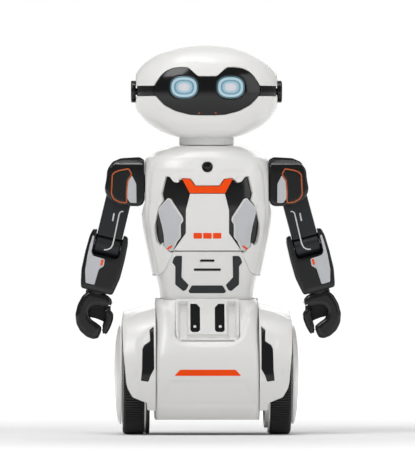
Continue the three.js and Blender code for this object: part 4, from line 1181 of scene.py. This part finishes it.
FOREARM_PLATE = [
    (12.9, 5.2), (13.4, -2), (13.3, -10.4), (12.4, -22), (9.8, -31.4), (2.9, -31.4), (2.3, -18.9),
    (-0.9, -15.8), (-0.4, -10.4), (9.0, -9.9), (11.0, -7.4), (11.4, 5.0),
]
HAND = [
    (-9, -36.6), (6, -36.6), (9.8, -41.5), (11.8, -49), (11.8, -57), (9.6, -63.4), (5.4, -68.4),
    (-0.6, -71.6), (-6, -72.2), (-9.8, -70.4), (-10.7, -65.4), (-10.2, -61.2), (-5.6, -59.1),
    (-1.2, -57.6), (1.2, -54.8), (1.7, -51.6), (0.4, -48.8), (-2.2, -46.9), (-8.8, -46.2),
    (-12.9, -45.6), (-13.9, -42), (-12.6, -38.6),
]
PALM = [
    (1.9, -45.6), (2.6, -52), (1.4, -56.4), (-4.0, -56.2), (-9.2, -56.8), (-12.6, -58.0),
    (-13.0, -45.6),
]
THUMB_LINK = [(-13.2, -44.4), (-9.5, -44.4), (-10.2, -48.8), (-14.4, -48.8)]
THUMB = [
    (-10.0, -46.9), (-13.6, -46.9), (-16.6, -49.4), (-17.5, -54), (-16.9, -60), (-15.4, -65.6),
    (-12, -66.2), (-10.4, -60), (-10.9, -54), (-9.9, -49),
]


def arm_frames(side, sign):
    """The matrices that put drawings made from the shoulder, the arm and the elbow into the world."""
    places = {j["name"]: Vector(j["pos_m"]) / MM for j in frame["joints"] if "pos_m" in j}
    swing, elbow = places[f"arm_swing_{side}"], places[f"elbow_{side}"]
    down = elbow - swing
    turn = Matrix.Rotation(-math.atan2(down.x * sign, -down.z), 4, "Y")
    at_swing = Matrix.Translation((swing.x * sign, swing.y, swing.z))
    at_elbow = Matrix.Translation((elbow.x * sign, elbow.y, elbow.z))
    return at_swing, at_swing @ turn, at_elbow @ turn


def build_arm(side, sign):
    upright, arm, fore = arm_frames(side, sign)

    def add(name, mesh, matrix, material, body, replaces=()):
        return make(f"{name}_{side}", sided(moved(mesh, matrix), sign), material, f"{body}_{side}", replaces)

    build_housing(side, upright, add)
    build_upper_arm(side, arm, add)
    build_forearm(side, fore, add)
    build_hand(side, fore, add)


def build_housing(side, at, add):
    outline = rounded(HOUSING, 2.6, 4)
    half, rear = 15.2, 14.2
    for name, y0, y1, bevel, lean in (("front", -half, -8.7, 1.8, 18.6), ("back", 8.7, rear, 2.4, UPRIGHT)):
        cheek = bar(outline, y0, y1, bevel, spacing=1.8, lean_from=lean)
        replaced = [f"shoulder_housing_{side}"] if name == "front" else ()
        add(f"shoulder_{name}", cheek, at, BLACK, "shoulder", replaced)
    web = [
        (-18, 23), (-14.3, 25.2), (0, 24.4), (6.4, 21.6), (9.4, 16.9), (8.8, 12.4), (4.0, 11.0),
        (0, 11.0), (-7.4, 8.0), (-11.0, 0), (-11.0, -12.3), (-13.8, -12.5), (-16.6, -11), (-18, -7.8),
    ]
    core = bar(rounded(web, 1.4, 3), -8.8, 8.8, 0.15, spacing=2.4)
    add("shoulder_core", core, at, BLACK, "shoulder")
    panel_face = bar(rounded(HOUSING_PANEL, 0.9), -half - 0.62, -half + 0.4, 0.5, spacing=1.6)
    add("shoulder_panel", panel_face, at, BLACK, "shoulder")
    ring = rounded(HOUSING_PANEL, 0.9)
    outer, inner = grown(ring, 0.9), grown(ring, -0.6)
    line = bar(outer, -half - 0.4, -half + 0.4, 0.12, holes=[inner], spacing=1.4)
    add("shoulder_line", line, at, RUST, "shoulder")
    grey = bar(rounded(HOUSING_GREY, 0.8), -half - 0.2, -half + 0.4, 0.12, spacing=1.6)
    add("shoulder_insert", grey, at, SILVER, "shoulder")
    shaft = lathe([(0, -27), (7, -27), (7, -17), (0, -17)], "x", (0, 0, 5.1), 48)
    add("shoulder_shaft", shaft, at, SATIN, "shoulder")
    cap = [(0, rear - 0.6), (4.4, rear - 0.6), (4.4, rear + 0.2), (4.0, rear + 0.6)]
    cap += [(1.8, rear + 0.6), (1.3, rear), (0, rear)]
    add("shoulder_pin_cap", lathe(cap, "y", sides=40), at, SATIN, "shoulder")


def build_upper_arm(side, at, add):
    half, depth = 9.8, 7.8
    head = [(half * math.cos(a), half * math.sin(a)) for a in np.linspace(0, math.pi, 25)]
    outline = head + [(-half, -ARM_LENGTH + 6.5), (half, -ARM_LENGTH + 6.5)]
    beam = bar(outline, -depth, depth, 1.0, spacing=2.2)
    add("upper_arm_bar", beam, at, SATIN, "arm", [f"upper_arm_{side}"])
    barrel = [(0, -half), (7.6, -half), (8.3, -half + 0.7), (8.3, half - 0.7), (7.6, half), (0, half)]
    add("elbow_barrel", lathe(barrel, "x", (0, 0, -ARM_LENGTH), 64), at, SATIN, "arm")
    line_path = [(-5.7, -15.6), (-4.2, -15.8), (-3.1, -17.2), (-3.0, -19.0), (-3.6, -37.4)]
    add("arm_line", ribbon(line_path, 1.0, -depth), at, GREY, "arm")
    line_end = [(-3.6, -37.0), (-3.7, -42.0), (-2.8, -45.0), (-0.6, -46.8), (2.0, -47.5)]
    add("arm_line_end", ribbon(line_end, 1.0, -8.35, 1.0), at, GREY, "arm")
    add("arm_dash", ribbon([(1.0, -18.4), (0.65, -24.7)], 1.1, -depth), at, GREY, "arm")
    pins = [(0, -13.9), (2.3, -13.9), (2.3, 13.9), (0, 13.9)]
    add("elbow_pin", lathe(pins, "x", (0, 0, -ARM_LENGTH), 32), at, STEEL, "arm")


def ribbon(path, width, y, depth=0.2):
    """A thin painted line along a path."""
    p = np.array(path, float)
    ahead = np.vstack([p[1:] - p[:-1], p[-1:] - p[-2:-1]])
    behind = np.vstack([p[1:2] - p[:1], p[1:] - p[:-1]])
    along = ahead / np.linalg.norm(ahead, axis=1)[:, None] + behind / np.linalg.norm(behind, axis=1)[:, None]
    along /= np.linalg.norm(along, axis=1)[:, None]
    across = np.stack([-along[:, 1], along[:, 0]], 1) * width / 2
    outline = rounded(np.vstack([p + across, (p - across)[::-1]]), width * 0.45, 3)
    return bar(outline, y - 0.16, y + depth, 0.1, spacing=1.0, step=0.8)


def build_forearm(side, at, add):
    d = 8.9

    def bevel(p):
        """Softer outside than in the fork that holds the elbow."""
        fork = (np.abs(p[:, 0]) < 11.6) & (p[:, 1] > -10.6)
        return np.where(fork, 0.45, 1.6)

    shell = bar(rounded(FOREARM_OUTLINE, 2.0, 4), -d, d, bevel, spacing=2.2)
    add("forearm_shell", shell, at, BLACK, "lower_arm", [f"forearm_{side}"])
    web = rounded(rectangle(-11.2, -10.4, 11.2, 7.5), 1.5)
    add("elbow_back", bar(web, 8.4, 8.85, 0.1, spacing=2.4), at, BLACK, "lower_arm")
    plate = bar(rounded(FOREARM_PLATE, 1.1), -d - 0.45, -d + 0.6, 0.4, spacing=1.6)
    add("forearm_cover", plate, at, SILVER, "lower_arm", [f"forearm_plate_{side}"])
    mark = rounded(rectangle(0.4, -11.0, 2.1, -15.6), 0.5)
    add("forearm_mark", bar(mark, -d - 0.6, -d - 0.3, 0.1, spacing=1.0, step=0.6), at, ORANGE, "lower_arm")


def build_hand(side, at, add):
    palm = bar(grown(rounded(HAND, 1.6, 3), -0.12), -8.4, 8.4, 2.4, spacing=1.4, step=1.0)
    add("hand_claw", palm, at, BLACK, "gripper", [f"hand_{side}"])
    web = bar(rounded(PALM, 1.0, 3), 7.0, 8.3, 0.3, spacing=1.6, step=1.0)
    add("hand_palm", web, at, SATIN, "gripper")
    collar = lathe([(0, -38.6), (8.0, -38.6), (8.0, -36.1), (0, -36.1)], "z", sides=48)
    add("wrist_collar", collar, at, SATIN, "gripper")
    link = bar(THUMB_LINK, -4.8, 4.8, 0.2, spacing=1.6, step=0.8)
    add("thumb_link", link, at, SATIN, "gripper_thumb")
    thumb = bar(grown(rounded(THUMB, 1.2, 3), -0.05), -6.9, 6.9, 1.6, spacing=1.2, step=0.9)
    add("hand_thumb", thumb, at, BLACK, "gripper_thumb", [f"thumb_{side}"])


# ---------------------------------------------------------------- studio

ROOM_LIGHT, BACKDROP = 0.27, 1.0  # strength of the surroundings on the robot, and as the camera sees them


def build_floor():
    """A plain pale floor that reaches the horizon."""
    half, count = 12, 13
    steps = np.linspace(-half, half, count)
    points = [(x, y, 0) for y in steps for x in steps]
    corners = [count * i + j for i in range(count - 1) for j in range(count - 1)]
    faces = [(k, k + 1, k + count + 1, k + count) for k in corners]
    data = bpy.data.meshes.new("studio_floor")
    data.from_pydata(points, [], faces)
    material, nodes, links, shader = new_material("studio_paper")
    links.new(fading(nodes, links, (0, 0, 0), 0.2, 1.4, 0, 1), shader.inputs["Emission Strength"])
    put(shader, {"Emission Color": (0.8, 0.8, 0.8, 1), "Base Color": (0.9, 0.9, 0.9, 1)})
    put(shader, {"Roughness": 0.85, "Specular IOR Level": 0.1})
    data.materials.append(material)
    floor = bpy.data.objects.new("studio_floor", data)
    bpy.context.scene.collection.objects.link(floor)


def area(name, place, target, size, power):
    light = bpy.data.lights.new(name, "AREA")
    light.shape = "RECTANGLE"
    light.size, light.size_y = size
    light.energy = power
    lamp = bpy.data.objects.new(name, light)
    lamp.location = place
    lamp.rotation_mode = "QUATERNION"
    lamp.rotation_quaternion = (Vector(target) - Vector(place)).to_track_quat("-Z", "Y")
    bpy.context.scene.collection.objects.link(lamp)


def build_lights():
    world = bpy.data.worlds.new("studio")
    world.use_nodes = True
    nodes, links = world.node_tree.nodes, world.node_tree.links
    seen = nodes.new("ShaderNodeLightPath")
    strength = nodes.new("ShaderNodeMapRange")
    put(strength, {"To Min": ROOM_LIGHT, "To Max": BACKDROP})
    links.new(seen.outputs["Is Camera Ray"], strength.inputs["Value"])
    links.new(strength.outputs["Result"], nodes["Background"].inputs["Strength"])
    nodes["Background"].inputs["Color"].default_value = (1, 1, 1, 1)
    bpy.context.scene.world = world
    middle = (0, 0, 0.15)
    area("key_light", (-1.1, -1.3, 1.9), middle, (1.0, 1.0), 18)
    area("fill_light", (1.7, -1.2, 0.9), middle, (1.0, 1.5), 8)
    area("top_light", (0, -0.1, 1.8), middle, (1.4, 0.8), 6)
    area("strip_light", (-0.15, -0.25, 1.5), middle, (0.7, 0.14), 3)
    area("back_light", (0.3, 1.8, 1.1), middle, (1.5, 1.2), 12)


VIEW_AZIMUTH, VIEW_ELEVATION, VIEW_DISTANCE = -1.2, 0.3, 8.0
VIEW_CENTRE = (0.0008, 0, 0.1505)
FRAME_HEIGHT = 0.3639  # metres that the picture's height covers at the object


def build_camera():
    data = bpy.data.cameras.new("camera")
    data.sensor_width = 36
    data.lens = 36 * VIEW_DISTANCE / FRAME_HEIGHT
    data.dof.use_dof = False
    camera = bpy.data.objects.new("camera", data)
    a, e = math.radians(VIEW_AZIMUTH), math.radians(VIEW_ELEVATION)
    back = Vector((math.sin(a) * math.cos(e), -math.cos(a) * math.cos(e), math.sin(e)))
    camera.location = Vector(VIEW_CENTRE) + back * VIEW_DISTANCE
    camera.rotation_mode = "QUATERNION"
    camera.rotation_quaternion = (-back).to_track_quat("-Z", "Y")
    bpy.context.scene.collection.objects.link(camera)
    bpy.context.scene.camera = camera
    bpy.context.scene.view_settings.view_transform = "Standard"


build_camera()
build_floor()
build_lights()
dress()
build_head()
build_torso()
build_base()
for side, sign in SIDES:
    build_wheel(side, sign)
    build_arm(side, sign)

bpy.context.view_layer.update()
